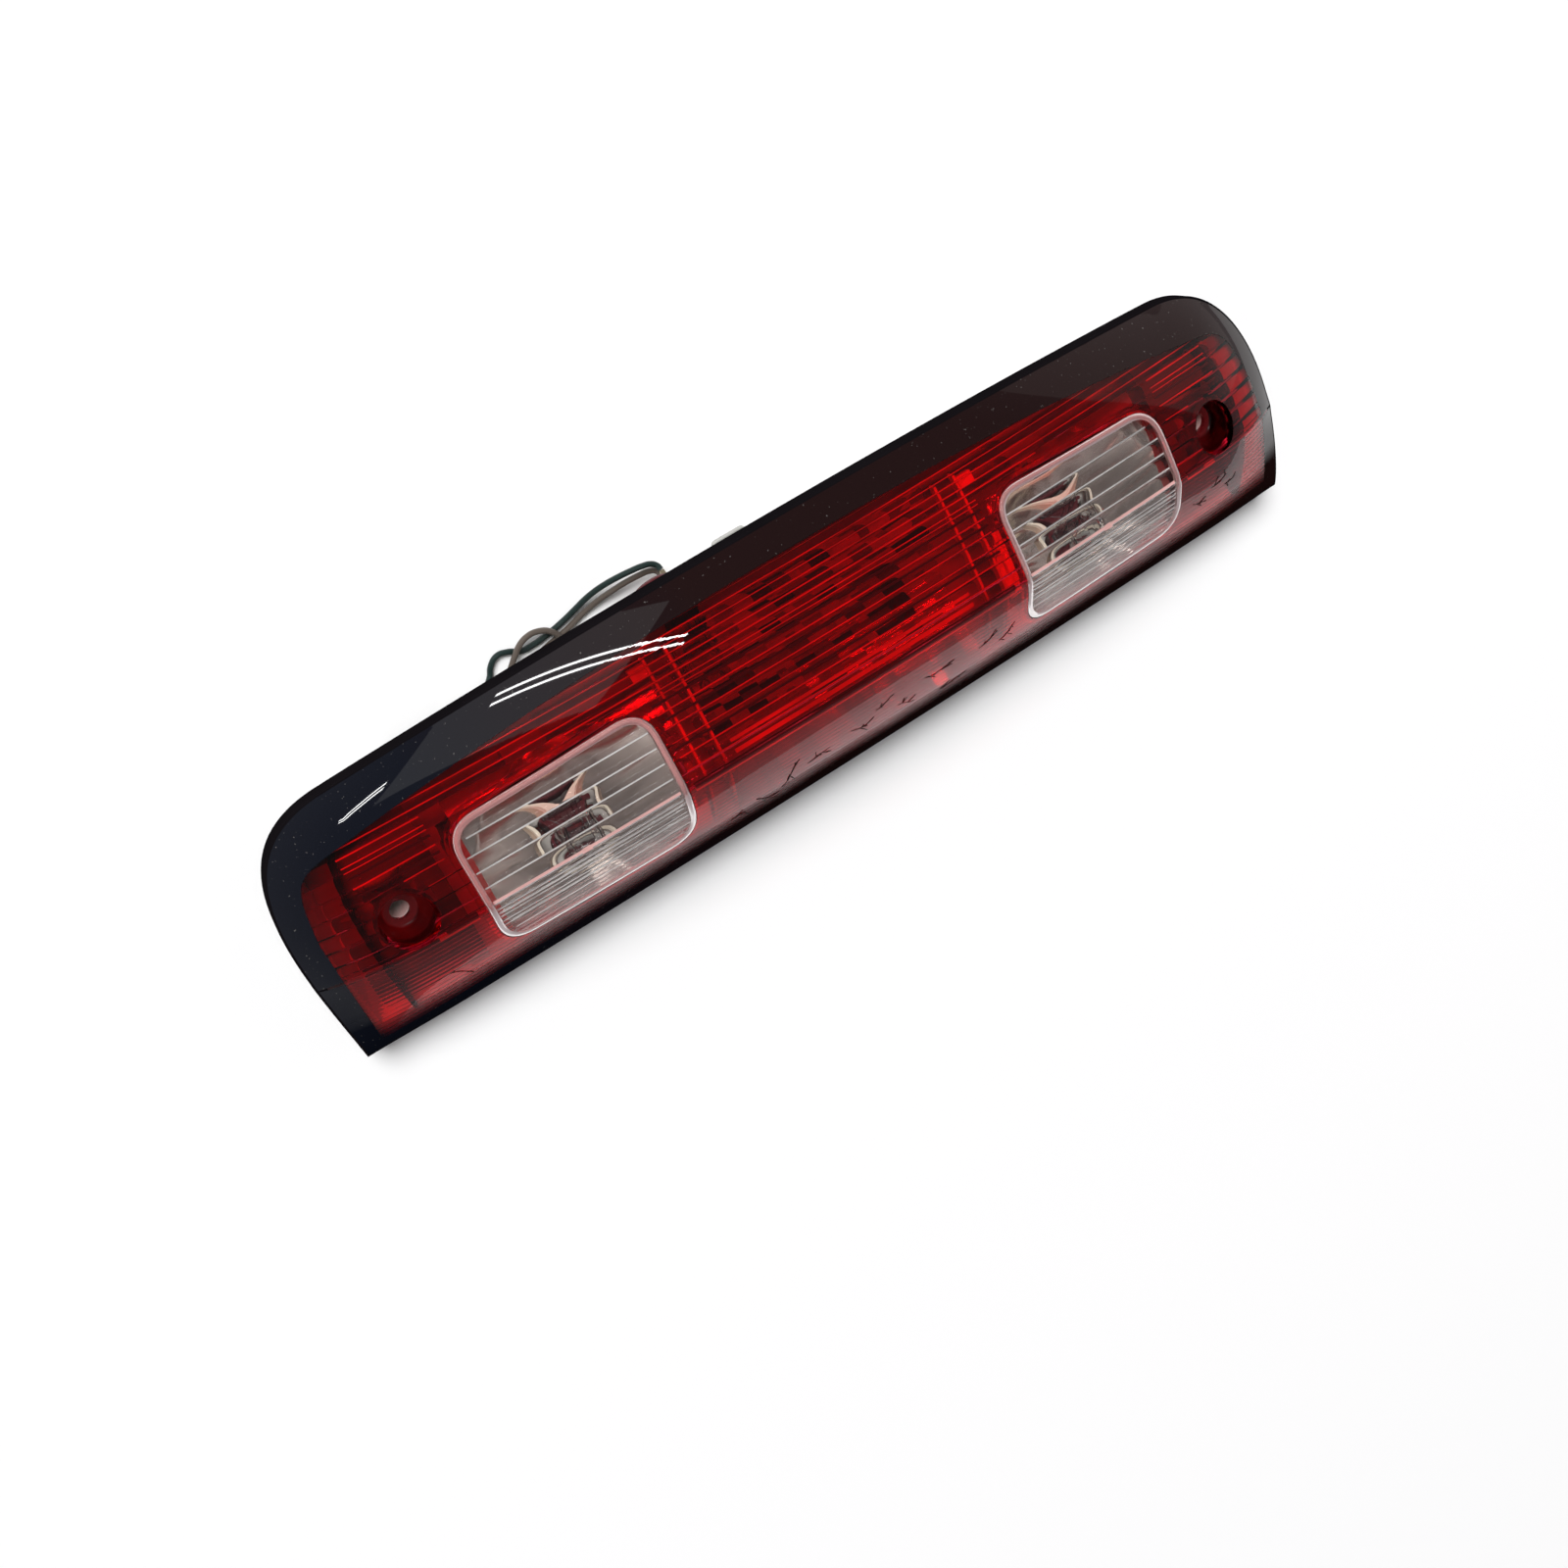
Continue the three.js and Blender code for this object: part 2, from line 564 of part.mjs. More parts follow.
function socketBody(boxes) {
  const s = SOCKET;
  let body = solid(turned([
    [0, s.foot], [s.tail - 0.8, s.foot], [s.tail, s.foot + 0.8], [s.tail, s.flangeFoot],
    [s.flange, s.flangeFoot], [s.flange, s.flangeTop], [s.neck, s.flangeTop], [s.neck, s.top],
    [0, s.top],
  ]));
  for (let k = 0; k < s.lugs; k += 1) {
    const lug = lugShape(k * 2 * Math.PI / s.lugs, s.lug, 0);
    body = body.add(solid(prism(lug, s.lugFoot, s.lugTop)));
  }
  body = body.add(solid(block(-s.grip, s.grip, -1.1, 1.1, s.foot + 3, s.flangeFoot + 0.5)));
  const [w, t] = BULB.wedge;
  const slot = solid(block(-w - 0.5, w + 0.5, -t - 0.5, t + 0.5, 0, s.top + 1));
  return geometryOf(cut(body, slot, ...boxes.map((b) => solid(boxOf(b, GAP)))));
}

function bulbGlass() {
  const { r, glass, foot, top } = BULB;
  const inner = r - glass;
  return turned([
    [0, top - glass], [inner * 0.35, top - glass - 0.2], [inner * 0.72, top - 2.4],
    [inner * 0.94, top - 5], [inner, top - 8], [inner, foot], [r, foot], [r, top - 8],
    [r * 0.95, top - 4.6], [r * 0.74, top - 1.6], [r * 0.37, top - 0.2], [0, top],
  ]);
}
// Two support wires with the coiled filament between them.
function filament() {
  const reach = 2.9;
  const coil = new THREE.CylinderGeometry(0.6, 0.6, 2 * reach, 10);
  coil.rotateZ(Math.PI / 2);
  coil.translate(0, 0, 15.4);
  const wires = [-reach, reach].map((x) => solid(post(x, 0, BULB.foot, 15.8, 0.35, 0.35, 8)));
  return geometryOf(join(solid(coil), ...wires));
}
const [wedgeX, wedgeY] = BULB.wedge;
for (const [where, matrix] of Object.entries(SEATS)) {
  const boxes = where === 'brake' ? contactBoxes.foot : contactBoxes.side;
  const s = SOCKET;
  add(`socket_${where}`, socketBody(boxes), 0x4a1216, 0.55, 0, matrix);
  add(`seal_${where}`, turned([
    [s.neck + GAP, -GAP], [s.neck + GAP, s.flangeTop + GAP], [s.flange - 0.2, s.flangeTop + GAP],
    [s.flange - 0.2, -GAP], [s.neck + GAP, -GAP],
  ]), 0x6e1a18, 0.9, 0, matrix);
  add(`bulb_glass_${where}`, bulbGlass(), 0xe8ecec, 0.05, 0, matrix);
  add(`bulb_base_${where}`, block(-wedgeX, wedgeX, -wedgeY, wedgeY, GAP, BULB.foot - GAP),
    0xdfe3e3, 0.1, 0, matrix);
  add(`filament_${where}`, filament(), 0x8d8d90, 0.3, 1, matrix);
  boxes.forEach((b, n) => add(`contact_${where}_${n + 1}`, boxOf(b, 0), 0xc8b27a, 0.35, 0.9, matrix));
}

// ---------------------------------------------------------------- pigtail and its connector
// Routes run from the socket contact to the connector. Heights are those of the wire's middle.
const ROUTES = {
  wire_brake_dark: [
    [-37.5, 46.2, 10.3], [-37.9, 47.8, 9.2], [-39.6, 49.3, 8.9], [-42.8, 50.3, 9],
    [-47.3, 50.7, 8.5], [-52.1, 50.7, 7.4], [-56.6, 50.3, 6], [-61.1, 49.5, 4.6],
    [-65, 48.4, 3.5], [-69.5, 46.7, 2.4], [-75.6, 44.6, LIE], [-82.5, 43.3, LIE],
    [-88.5, 42.7, LIE], [-93.5, 43, LIE], [-97.4, 45, LIE], [-101.6, 45.8, LIE],
    [-105.2, 43.6, LIE], [-107.4, 40.4, 1.5], [-110.6, 38.4, 3.1], [-115, 36.9, 4.9],
    [-120, 36.2, 6], [-125.7, 36.1, 6.2],
  ],
  wire_brake_brown: [
    [-37.5, 43.7, 6.8], [-38.3, 45.2, 5.8], [-40.6, 46.3, 5.6], [-44.4, 46.8, 5.6],
    [-49.5, 46.8, 5], [-55, 46.2, 3.9], [-60.3, 45.3, 2.6], [-67.9, 43.4, LIE],
    [-74.5, 41.5, LIE], [-82, 40, LIE], [-89, 38.6, LIE], [-95.5, 37.6, LIE],
    [-102, 36.8, LIE], [-109, 36.2, 1.6], [-115.5, 36.1, 2.6], [-121, 36.1, 3],
    [-125.7, 36.1, 3],
  ],
  wire_left_brown: [
    [-107.8, -1, 8], [-107.8, 4, 7.8], [-107.8, 10, 6.8], [-107.8, 16, 5.1], [-107.6, 21, 4],
    [-106.6, 25.4, 3.8], [-102.6, 29.4, 3.8], [-96.6, 31.8, 3.8], [-90.4, 33, 3.7],
    [-84.6, 34.4, 3.6], [-80.6, 37.2, 3.7], [-79.4, 41, 4], [-81.2, 44.6, 4.3],
    [-85, 47, 4.2], [-89.4, 47.4, 4.1], [-93.4, 45.9, 4], [-97, 42.9, 4],
    [-100.6, 39.5, 3.9], [-104.6, 36.6, 4.2], [-109.4, 34.6, 5.1], [-114.6, 33.4, 5.9],
    [-120, 33, 6.2], [-125.7, 33, 6.2],
  ],
  wire_left_dark: [
    [-112.2, -1, 8], [-112.2, 4, 7.8], [-112.2, 10, 6.8], [-112.2, 16, 5.1], [-112.2, 21, 4],
    [-112.8, 25, 4], [-115.2, 28.2, 5.1], [-119.6, 29.7, 6], [-125.7, 29.9, 6.2],
  ],
  wire_right_brown: [
    [107.8, -1, 8], [107.8, 4, 7.7], [107.8, 10, 5.4], [107.8, 15, 3], [107.8, 20, 1.7],
    [106.9, 24.6, LIE], [102.4, 26.4, LIE], [90, 25.7, LIE], [75, 25.9, LIE], [60, 25.5, LIE],
    [40, 25.9, LIE], [20, 25.6, LIE], [0, 25.8, LIE], [-20, 25.5, LIE], [-40, 25.8, LIE],
    [-60, 25.6, LIE], [-80, 25.7, LIE], [-94, 25.6, LIE], [-105, 26.8, LIE],
    [-112.4, 28.8, 1.8], [-119, 29.8, 2.8], [-125.7, 29.9, 3],
  ],
  wire_right_dark: [
    [112.2, -1, 8], [112.2, 4, 7.7], [112.2, 10, 5.4], [112.2, 15, 3], [112, 20.5, 1.6],
    [110.2, 25.6, LIE], [105, 28.7, LIE], [94, 29, LIE], [78, 28.7, LIE], [60, 29, LIE],
    [40, 28.7, LIE], [20, 29, LIE], [0, 28.7, LIE], [-20, 28.9, LIE], [-40, 28.6, LIE],
    [-60, 28.8, LIE], [-78, 28.6, LIE], [-92, 29, LIE], [-101.6, 30.6, LIE],
    [-109.6, 32.4, 1.8], [-116.4, 33, 2.7], [-121, 33, 3], [-125.7, 33, 3],
  ],
};
const WIRE_COLORS = { dark: 0x16211f, brown: 0x6f6357 };
for (const [name, points] of Object.entries(ROUTES)) {
  const stations = points.map((p) => new THREE.Vector3(...p));
  const path = new THREE.CatmullRomCurve3(stations, false, 'centripetal');
  const section = new THREE.Shape();
  for (let k = 0; k < 8; k += 1) {
    const a = k * Math.PI / 4;
    section[k ? 'lineTo' : 'moveTo'](WIRE_R * Math.cos(a), WIRE_R * Math.sin(a));
  }
  section.closePath();
  const steps = Math.min(80, Math.round(path.getLength() / (5.6 * WIRE_R)));
  const g = new THREE.ExtrudeGeometry(section, { steps, extrudePath: path, bevelEnabled: false });
  add(name, g, WIRE_COLORS[name.split('_')[2]], 0.45);
}

// Six-way connector with a rocking latch on its top.
let plug = solid(block(PLUG.x0, PLUG.x1, PLUG.y0, PLUG.y1, 0, PLUG.z1));
plug = plug.add(solid(block(PLUG.x0 + 3, PLUG.x1 - 3, PLUG.y0 + 0.8, PLUG.y0 + 2, 0, 11)));
plug = plug.add(solid(block(PLUG.x0 + 3, PLUG.x1 - 3, PLUG.y1 - 2, PLUG.y1 - 0.8, 0, 11)));
plug = plug.subtract(solid(block(PLUG.x0 - 1, PLUG.x0 + 9, PLUG.y0 + 1.4, PLUG.y1 - 1.4, 1.4, 7.6)));
add('connector_body', geometryOf(plug), 0x1b1c1e, 0.5);

const lever = solid(block(
  LATCH.pivot - LATCH.half, LATCH.pivot + LATCH.half,
  LATCH.y - LATCH.width / 2, LATCH.y + LATCH.width / 2, LATCH.z, LATCH.z + LATCH.t,
));
const fulcrum = new THREE.CylinderGeometry(0.5, 0.5, LATCH.width, 10);
fulcrum.translate(LATCH.pivot, LATCH.y, PLUG.z1 + GAP + 0.5);
const neck = block(LATCH.pivot - 0.6, LATCH.pivot + 0.6, LATCH.y - LATCH.width / 2,
  LATCH.y + LATCH.width / 2, PLUG.z1 + 0.8, LATCH.z + 0.4);
const hook = block(LATCH.pivot - LATCH.half, LATCH.pivot - LATCH.half + 1.6,
  LATCH.y - LATCH.width / 2, LATCH.y + LATCH.width / 2, PLUG.z1 + 0.7, LATCH.z + 0.4);
const latch = join(lever, solid(fulcrum), solid(neck), solid(hook));
add('connector_latch', geometryOf(latch), 0x24262a, 0.5);

export default group;
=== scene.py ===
# Third brake light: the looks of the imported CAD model. X runs along the lamp, +Y is its upper edge
# when mounted, +Z the way the light leaves. The lamp is given in millimetres; the camera, the lights
# and the floor are in metres.
import math
import random

import bpy
import numpy as np
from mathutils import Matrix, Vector


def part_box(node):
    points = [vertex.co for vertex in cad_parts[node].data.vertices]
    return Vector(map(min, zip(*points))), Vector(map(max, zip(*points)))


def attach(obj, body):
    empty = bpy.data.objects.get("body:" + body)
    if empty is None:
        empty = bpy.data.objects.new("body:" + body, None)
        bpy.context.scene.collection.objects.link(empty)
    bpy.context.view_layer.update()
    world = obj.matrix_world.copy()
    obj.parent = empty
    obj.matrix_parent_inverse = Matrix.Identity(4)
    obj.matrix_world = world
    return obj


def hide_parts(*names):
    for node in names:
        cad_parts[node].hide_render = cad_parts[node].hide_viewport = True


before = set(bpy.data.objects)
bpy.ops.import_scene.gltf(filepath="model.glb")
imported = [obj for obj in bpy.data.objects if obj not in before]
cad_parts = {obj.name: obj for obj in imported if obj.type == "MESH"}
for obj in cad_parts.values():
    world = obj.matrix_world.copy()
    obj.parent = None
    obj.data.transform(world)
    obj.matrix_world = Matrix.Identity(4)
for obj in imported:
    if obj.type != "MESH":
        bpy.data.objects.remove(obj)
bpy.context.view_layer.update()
MM = 0.001
random.seed(7)
chance = np.random.default_rng(7)

# ---------------- dimensions, as in the CAD
# near: the lower edge; far: the upper edge; ridge: the crease along the lens; half: half a length;
# bow: how far an edge bulges in the middle; crown: how fast a line falls with X squared
NEAR_HALF, NEAR_Y, NEAR_BOW = 211.0, -53.1, 1.45
FAR_HALF, FAR_Y, FAR_BOW = 175.5, 42.4, 10.7
HALF_LENGTH, HALF_WIDTH = 213.0, 53.0
END_PULL = ((212.2, -5.3), (223.4, 37.9))               # control points of the round end
RIM_NEAR, RIM_FAR, RIM_SWELL = 23.3, 40.6, 40.0
CROWN_NEAR, CROWN_FAR = 1.4e-4, 6.9e-4
RIDGE_Z, RIDGE_Y, RIDGE_CROWN, RIDGE_DRIFT = 56.0, -11.2, 4.56e-4, 1.18e-4
FACE_TILT, FACE_CURVE = 0.10, 0.0021
ROLL, ROLL_POWER = 45.0, 2.2        # how wide the border rolls down to the rim, and how sharply
LENS_T, SKIRT, GAP = 2.6, 6.0, 0.3  # thickness, height of the rim's wall, play round a window
WINDOW = {"inner": 73, "outer": 150.5, "low": -35.5, "high_inner": 21.5, "high_outer": 17, "corner": 12}
BOWL = {"x": 175, "y": -4.6, "top": 10, "foot": 6.8, "seat": 29, "hole": 3.5, "wall": 1.8}
CARGO_X, CARGO_Y = 110.0, -12.0
WIRE_R = 1.1
LIE = WIRE_R + 0.1                  # height of a wire's centre where it lies on the floor
SIDES = ((-1, "left"), (1, "right"))
UPRIGHT = Vector((0, 0, 1))

# ---------------- dimensions of the looks only
RIM_FILLET = 0.9                    # small round where the lens face turns into its wall
CREASE_R, CREASE_DROP = 1.0, 0.14   # the rounded crease: half width, and how far it is taken down
EDGE_SPREAD = 3.0                   # distance over which the fit to the border is averaged
WALL_BLACK = 3.4                    # the lens is black right through this close to its outline
SURFACE_LIFT = 0.04                 # how far the paint and the cracks lie above the lens
PAINT_END = 203.0                   # black border: from this |X| outwards
PAINT_FAR, PAINT_WIDEN = 11.0, 4.5  # its width at the upper edge, and how much wider it is at the ends
PAINT_SOLID, PAINT_FADE = 5.0, 10.0                     # lower edge: solid this far in, then fades out
SKIN_END, SKIN_NEAR, SKIN_FAR = 186.5, -37.6, 23.5      # the paint's mesh covers what lies past these
FLUTE, FINE_FLUTE = 5.4, 1.9        # pitch of the flutes under the red lens, above and below the crease
WINDOW_FLUTE, WINDOW_FINE = 6.0, 2.0
LINE_REACH = 186.0                  # |X| where the lines between the flutes end
LINE_DEPTH = 0.5
FINE_LINES = np.arange(34.0, 52, 2.9)                   # distance above the crease
BROAD_LINES = ((2.7, 0.75), (6.9, 0.55))                # the same, and half width
DARK_LINES = ((-0.3, 0.55), (14.0, 0.3), (24.3, 0.3), (30.2, 0.3))
GUIDE_XS, GUIDE_LOW, GUIDE_HIGH = (55.5, 64), -34, 33   # light-guide ribs
WINDOW_T, WINDOW_FREE = 1.9, 2.6    # window plate, and the width inside its outline without lines
REFLECTOR_T, REFLECTOR_CURVE = 1.2, 0.0115
ABOVE_ALL = 80.0                    # higher than any part, for cutting tools


# ---------------- surfaces of the lamp
def mix(a, b, t):
    return a + (b - a) * t


def end_point(t):
    """The round end of the outline, from the lower edge (0) to the upper edge (1)."""
    s = 1 - t
    (ax, ay), (bx, by) = END_PULL
    x = s**3 * NEAR_HALF + 3 * s * s * t * ax + 3 * s * t * t * bx + t**3 * FAR_HALF
    y = s**3 * NEAR_Y + 3 * s * s * t * ay + 3 * s * t * t * by + t**3 * FAR_Y
    return x, y


END_X, END_Y = end_point(np.linspace(0, 1, 800))


def near_y(x):
    return NEAR_Y + NEAR_BOW * (1 - (x / NEAR_HALF) ** 2)


def far_y(x):
    return FAR_Y + FAR_BOW * (1 - (x / FAR_HALF) ** 2)


def rim_z(x, share):
    crown = mix(CROWN_NEAR, CROWN_FAR, share)
    return mix(RIM_NEAR, RIM_FAR, share) + RIM_SWELL * share * (1 - share) - crown * x * x


def ridge_y(x):
    return RIDGE_Y - RIDGE_DRIFT * x * x


def ridge_z(x):
    return RIDGE_Z - RIDGE_CROWN * x * x


def face_z(x, y):
    """Band below the crease and face above it, before the border rolls off."""
    up = y - ridge_y(x)
    t = np.maximum(-up, 0) / (ridge_y(x) - near_y(x))
    above = ridge_z(x) - FACE_TILT * up - FACE_CURVE * up * up
    below = ridge_z(x) - (ridge_z(x) - rim_z(x, 0)) * (0.6 * t + 0.4 * t * t)
    z = np.where(up >= 0, above, below)
    soft = np.clip(1 - np.abs(up) / CREASE_R, 0, 1)
    return z - CREASE_DROP * soft * soft


def border_samples():
    share = (END_Y - NEAR_Y) / (FAR_Y - NEAR_Y)
    far_x = np.linspace(FAR_HALF, 0, 1200)[1:]
    x = np.concatenate([END_X, far_x])
    y = np.concatenate([END_Y, far_y(far_x)])
    z = np.concatenate([rim_z(END_X, share), rim_z(far_x, 1)])
    return x[::2], y[::2], (face_z(x, y) - z)[::2]


BORDER_X, BORDER_Y, BORDER_DROP = border_samples()


def lens_z(x, y):
    """Height of the outer face of the lens."""
    x, y = np.broadcast_arrays(np.abs(np.asarray(x, float)), np.asarray(y, float))
    shape = x.shape
    x, y = x.ravel(), y.ravel()
    z = np.empty(len(x))
    at_a_time = 3000
    for start in range(0, len(x), at_a_time):
        part = slice(start, start + at_a_time)
        dist = np.hypot(x[part, None] - BORDER_X, y[part, None] - BORDER_Y)
        nearest = dist.min(1)
        weight = np.exp((nearest[:, None] - dist) / EDGE_SPREAD)
        drop = (weight * BORDER_DROP).sum(1) / weight.sum(1)
        roll = np.clip(1 - nearest / ROLL, 0, 1) ** ROLL_POWER
        z[part] = face_z(x[part], y[part]) - drop * roll
    return z.reshape(shape)


def plan(u, share, inset=0.0):
    """Place in plan, from u (-1 to 1 along the lamp) and share (0 lower edge to 1 upper edge)."""
    target = mix(NEAR_Y, FAR_Y, share)
    x = u * np.interp(target, END_Y, END_X)
    y = target + mix(NEAR_BOW, FAR_BOW, share) * (1 - u * u)
    return x * (1 - inset / HALF_LENGTH), y * (1 - inset / HALF_WIDTH)


def side_span(side, start, stop, count):
    """Rising X values between two |X| on one side of the lamp."""
    return (side * np.linspace(start, stop, count))[::side]


def turns(count):
    """Angles of equal steps round a circle."""
    return np.linspace(0, 2 * np.pi, count + 1)[:-1]


# ---------------- mesh helpers
def add_object(name, data):
    obj = bpy.data.objects.new(name, data)
    bpy.context.collection.objects.link(obj)
    return obj


def make_object(name, points, faces, material, smooth_angle=35, body="lamp"):
    mesh = bpy.data.meshes.new(name)
    mesh.from_pydata((np.asarray(points, float) * MM).tolist(), [], faces)
    mesh.validate()
    mesh.materials.append(material)
    obj = add_object(name, mesh)
    shade(obj, smooth_angle)
    if body:
        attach(obj, body)
    return obj


def shade(obj, smooth_angle):
    obj.data.shade_smooth()
    obj.data.set_sharp_from_angle(angle=math.radians(smooth_angle))


def grid_faces(start, rows, cols, flip=False):
    faces = []
    for j in range(rows - 1):
        for i in range(cols - 1):
            a = start + j * cols + i
            quad = (a, a + 1, a + cols + 1, a + cols)
            faces.append(quad[::-1] if flip else quad)
    return faces


def grid_solid(upper, lower, rings=()):
    """Closed solid between two grids (rows, cols, 3); rings lie between their rims."""
    rows, cols = upper.shape[:2]
    edge = [(0, i) for i in range(cols - 1)] + [(j, cols - 1) for j in range(rows - 1)]
    edge += [(rows - 1, i) for i in range(cols - 1, 0, -1)] + [(j, 0) for j in range(rows - 1, 0, -1)]
    points = [upper.reshape(-1, 3)]
    loops = [[j * cols + i for j, i in edge]]
    count = rows * cols
    for ring in rings:
        points.append(np.array([ring[j, i] for j, i in edge]))
        loops.append(list(range(count, count + len(edge))))
        count += len(edge)
    points.append(lower.reshape(-1, 3))
    loops.append([count + j * cols + i for j, i in edge])
    faces = grid_faces(0, rows, cols) + grid_faces(count, rows, cols, flip=True)
    for upper_loop, lower_loop in zip(loops, loops[1:]):
        for n in range(len(edge)):
            m = (n + 1) % len(edge)
            faces.append((upper_loop[n], lower_loop[n], lower_loop[m], upper_loop[m]))
    return np.concatenate(points), faces


def layered(x, y, top, bottom):
    """Closed solid between two heights over a grid of places in plan."""
    return grid_solid(np.stack([x, y, top], -1), np.stack([x, y, bottom], -1))


def sweep(sections):
    """Closed ring of equal sections, an array (stations, corners, 3)."""
    stations, corners = sections.shape[:2]
    faces = []
    for n in range(stations):
        m = (n + 1) % stations
        for a in range(corners):
            b = (a + 1) % corners
            faces.append((n * corners + a, m * corners + a, m * corners + b, n * corners + b))
    return sections.reshape(-1, 3), faces


def join_parts(parts):
    """Several (points, faces) as one."""
    points, faces, count = [], [], 0
    for p, f in parts:
        points.append(np.asarray(p, float))
        faces += [tuple(i + count for i in face) for face in f]
        count += len(p)
    return np.concatenate(points), faces


def capped(lower, upper):
    """Closed solid between two equal loops, counterclockwise seen from the upper one."""
    n = len(lower)
    faces = [tuple(range(n))[::-1], tuple(range(n, 2 * n))]
    faces += [(i, (i + 1) % n, n + (i + 1) % n, n + i) for i in range(n)]
    return np.array([*lower, *upper], float), faces


def prism(loop, z0, z1):
    """Upright closed prism over a counterclockwise plan loop."""
    return capped([(x, y, z0) for x, y in loop], [(x, y, z1) for x, y in loop])


def slab(points, thickness, half_width, side, width_dir):
    """Thin rib that follows points: hangs thickness down, and is half_width wide each way along
    width_dir. side is -1 where width_dir points to the left of the way along the points."""
    points = np.asarray(points, float)
    across = np.asarray(width_dir, float) * half_width
    down = np.zeros_like(points)
    down[:, 2] = -thickness
    corners = [points - across, points + across, points + across + down, points - across + down]
    rows = np.stack(corners, 1)
    n = len(points)
    faces = [tuple(range(4))[::-side], tuple(range(4 * n - 4, 4 * n))[::side]]
    for k in range(n - 1):
        for a in range(4):
            b = (a + 1) % 4
            face = (4 * k + a, 4 * k + b, 4 * k + 4 + b, 4 * k + 4 + a)
            faces.append(face[::side])
    return rows.reshape(-1, 3), faces


def tilted_cylinder(origin, direction, start, end, radius):
    """Closed cylinder round a line, between two distances from its origin."""
    turn = direction.to_track_quat("Z", "Y")
    loops = []
    for h in (start, end):
        ring = [Vector((radius * math.cos(a), radius * math.sin(a), h)) for a in turns(40)]
        loops.append([origin + turn @ point for point in ring])
    return capped(*loops)


def spoke(centre, angle, profile):
    """Corners given as (radius, height), placed at an angle round a centre in plan."""
    direction = np.array([math.cos(angle), math.sin(angle)])
    return [(*(centre + direction * radius), height) for radius, height in profile]


def carve(obj, tool, smooth_angle=35, operation="DIFFERENCE"):
    """Cuts obj with a closed solid given as (points, faces), and shades it anew."""
    cutter = make_object("cutter", *tool, obj.data.materials[0], body=None)
    step = obj.modifiers.new("carve", "BOOLEAN")
    step.operation = operation
    step.solver = "EXACT"
    step.object = cutter
    bpy.context.view_layer.update()
    result = obj.evaluated_get(bpy.context.evaluated_depsgraph_get())
    obj.data = bpy.data.meshes.new_from_object(result)
    obj.modifiers.clear()
    bpy.data.objects.remove(cutter)
    shade(obj, smooth_angle)


# ---------------- materials
class Nodes:
    """Short calls for a material's node tree."""

    def __init__(self, name):
        self.material = bpy.data.materials.new(name)
        self.material.use_nodes = True
        self.tree = self.material.node_tree
        self.shader = self.tree.nodes["Principled BSDF"]
        self.output = self.tree.nodes["Material Output"]
        coords = self.tree.nodes.new("ShaderNodeTexCoord")
        self.place = coords.outputs["Object"]

    def set(self, **values):
        for key, value in values.items():
            self.plug(value, self.shader.inputs[key.replace("_", " ")])

    def plug(self, value, socket):
        if isinstance(value, bpy.types.NodeSocket):
            self.tree.links.new(value, socket)
        elif isinstance(value, tuple) and len(value) == 3 and socket.type == "RGBA":
            socket.default_value = (*value, 1)
        else:
            socket.default_value = value

    def math(self, operation, *values, clamp=False):
        node = self.tree.nodes.new("ShaderNodeMath")
        node.operation = operation
        node.use_clamp = clamp
        for value, socket in zip(values, node.inputs):
            self.plug(value, socket)
        return node.outputs[0]

    def axes(self):
        """Object coordinates in millimetres, as three sockets."""
        node = self.tree.nodes.new("ShaderNodeSeparateXYZ")
        self.tree.links.new(self.place, node.inputs[0])
        return [self.math("MULTIPLY", node.outputs[k], 1000.0) for k in range(3)]

    def noise(self, scale, stretch=(1, 1, 1), detail=3.0):
        mapping = self.tree.nodes.new("ShaderNodeMapping")
        mapping.inputs["Scale"].default_value = stretch
        self.tree.links.new(self.place, mapping.inputs[0])
        node = self.tree.nodes.new("ShaderNodeTexNoise")
        self.tree.links.new(mapping.outputs[0], node.inputs["Vector"])
        node.inputs["Scale"].default_value = scale
        node.inputs["Detail"].default_value = detail
        return node.outputs[0]

    def ramp(self, value, low, high, a=0.0, b=1.0):
        """Value from low to high becomes a to b, held at the ends."""
        node = self.tree.nodes.new("ShaderNodeMapRange")
        for key, number in (("From Min", low), ("From Max", high), ("To Min", a), ("To Max", b)):
            node.inputs[key].default_value = number
        self.tree.links.new(value, node.inputs[0])
        return node.outputs[0]

    def tint(self, factor, a, b):
        node = self.tree.nodes.new("ShaderNodeMix")
        node.data_type = "RGBA"
        self.plug(factor, node.inputs[0])
        self.plug(a, node.inputs[6])
        self.plug(b, node.inputs[7])
        return node.outputs[2]

    def bump(self, height, distance_mm, strength):
        node = self.tree.nodes.new("ShaderNodeBump")
        node.inputs["Strength"].default_value = strength
        node.inputs["Distance"].default_value = distance_mm * MM
        self.tree.links.new(height, node.inputs["Height"])
        self.tree.links.new(node.outputs[0], self.shader.inputs["Normal"])

    def pane(self, tint):
        """Light for what lies behind comes straight through; the eye sees real glass."""
        path = self.tree.nodes.new("ShaderNodeLightPath")
        clear = self.tree.nodes.new("ShaderNodeBsdfTransparent")
        clear.inputs[0].default_value = (*tint, 1)
        both = self.tree.nodes.new("ShaderNodeMixShader")
        self.tree.links.new(path.outputs["Is Shadow Ray"], both.inputs[0])
        self.tree.links.new(self.shader.outputs[0], both.inputs[1])
        self.tree.links.new(clear.outputs[0], both.inputs[2])
        self.tree.links.new(both.outputs[0], self.output.inputs[0])


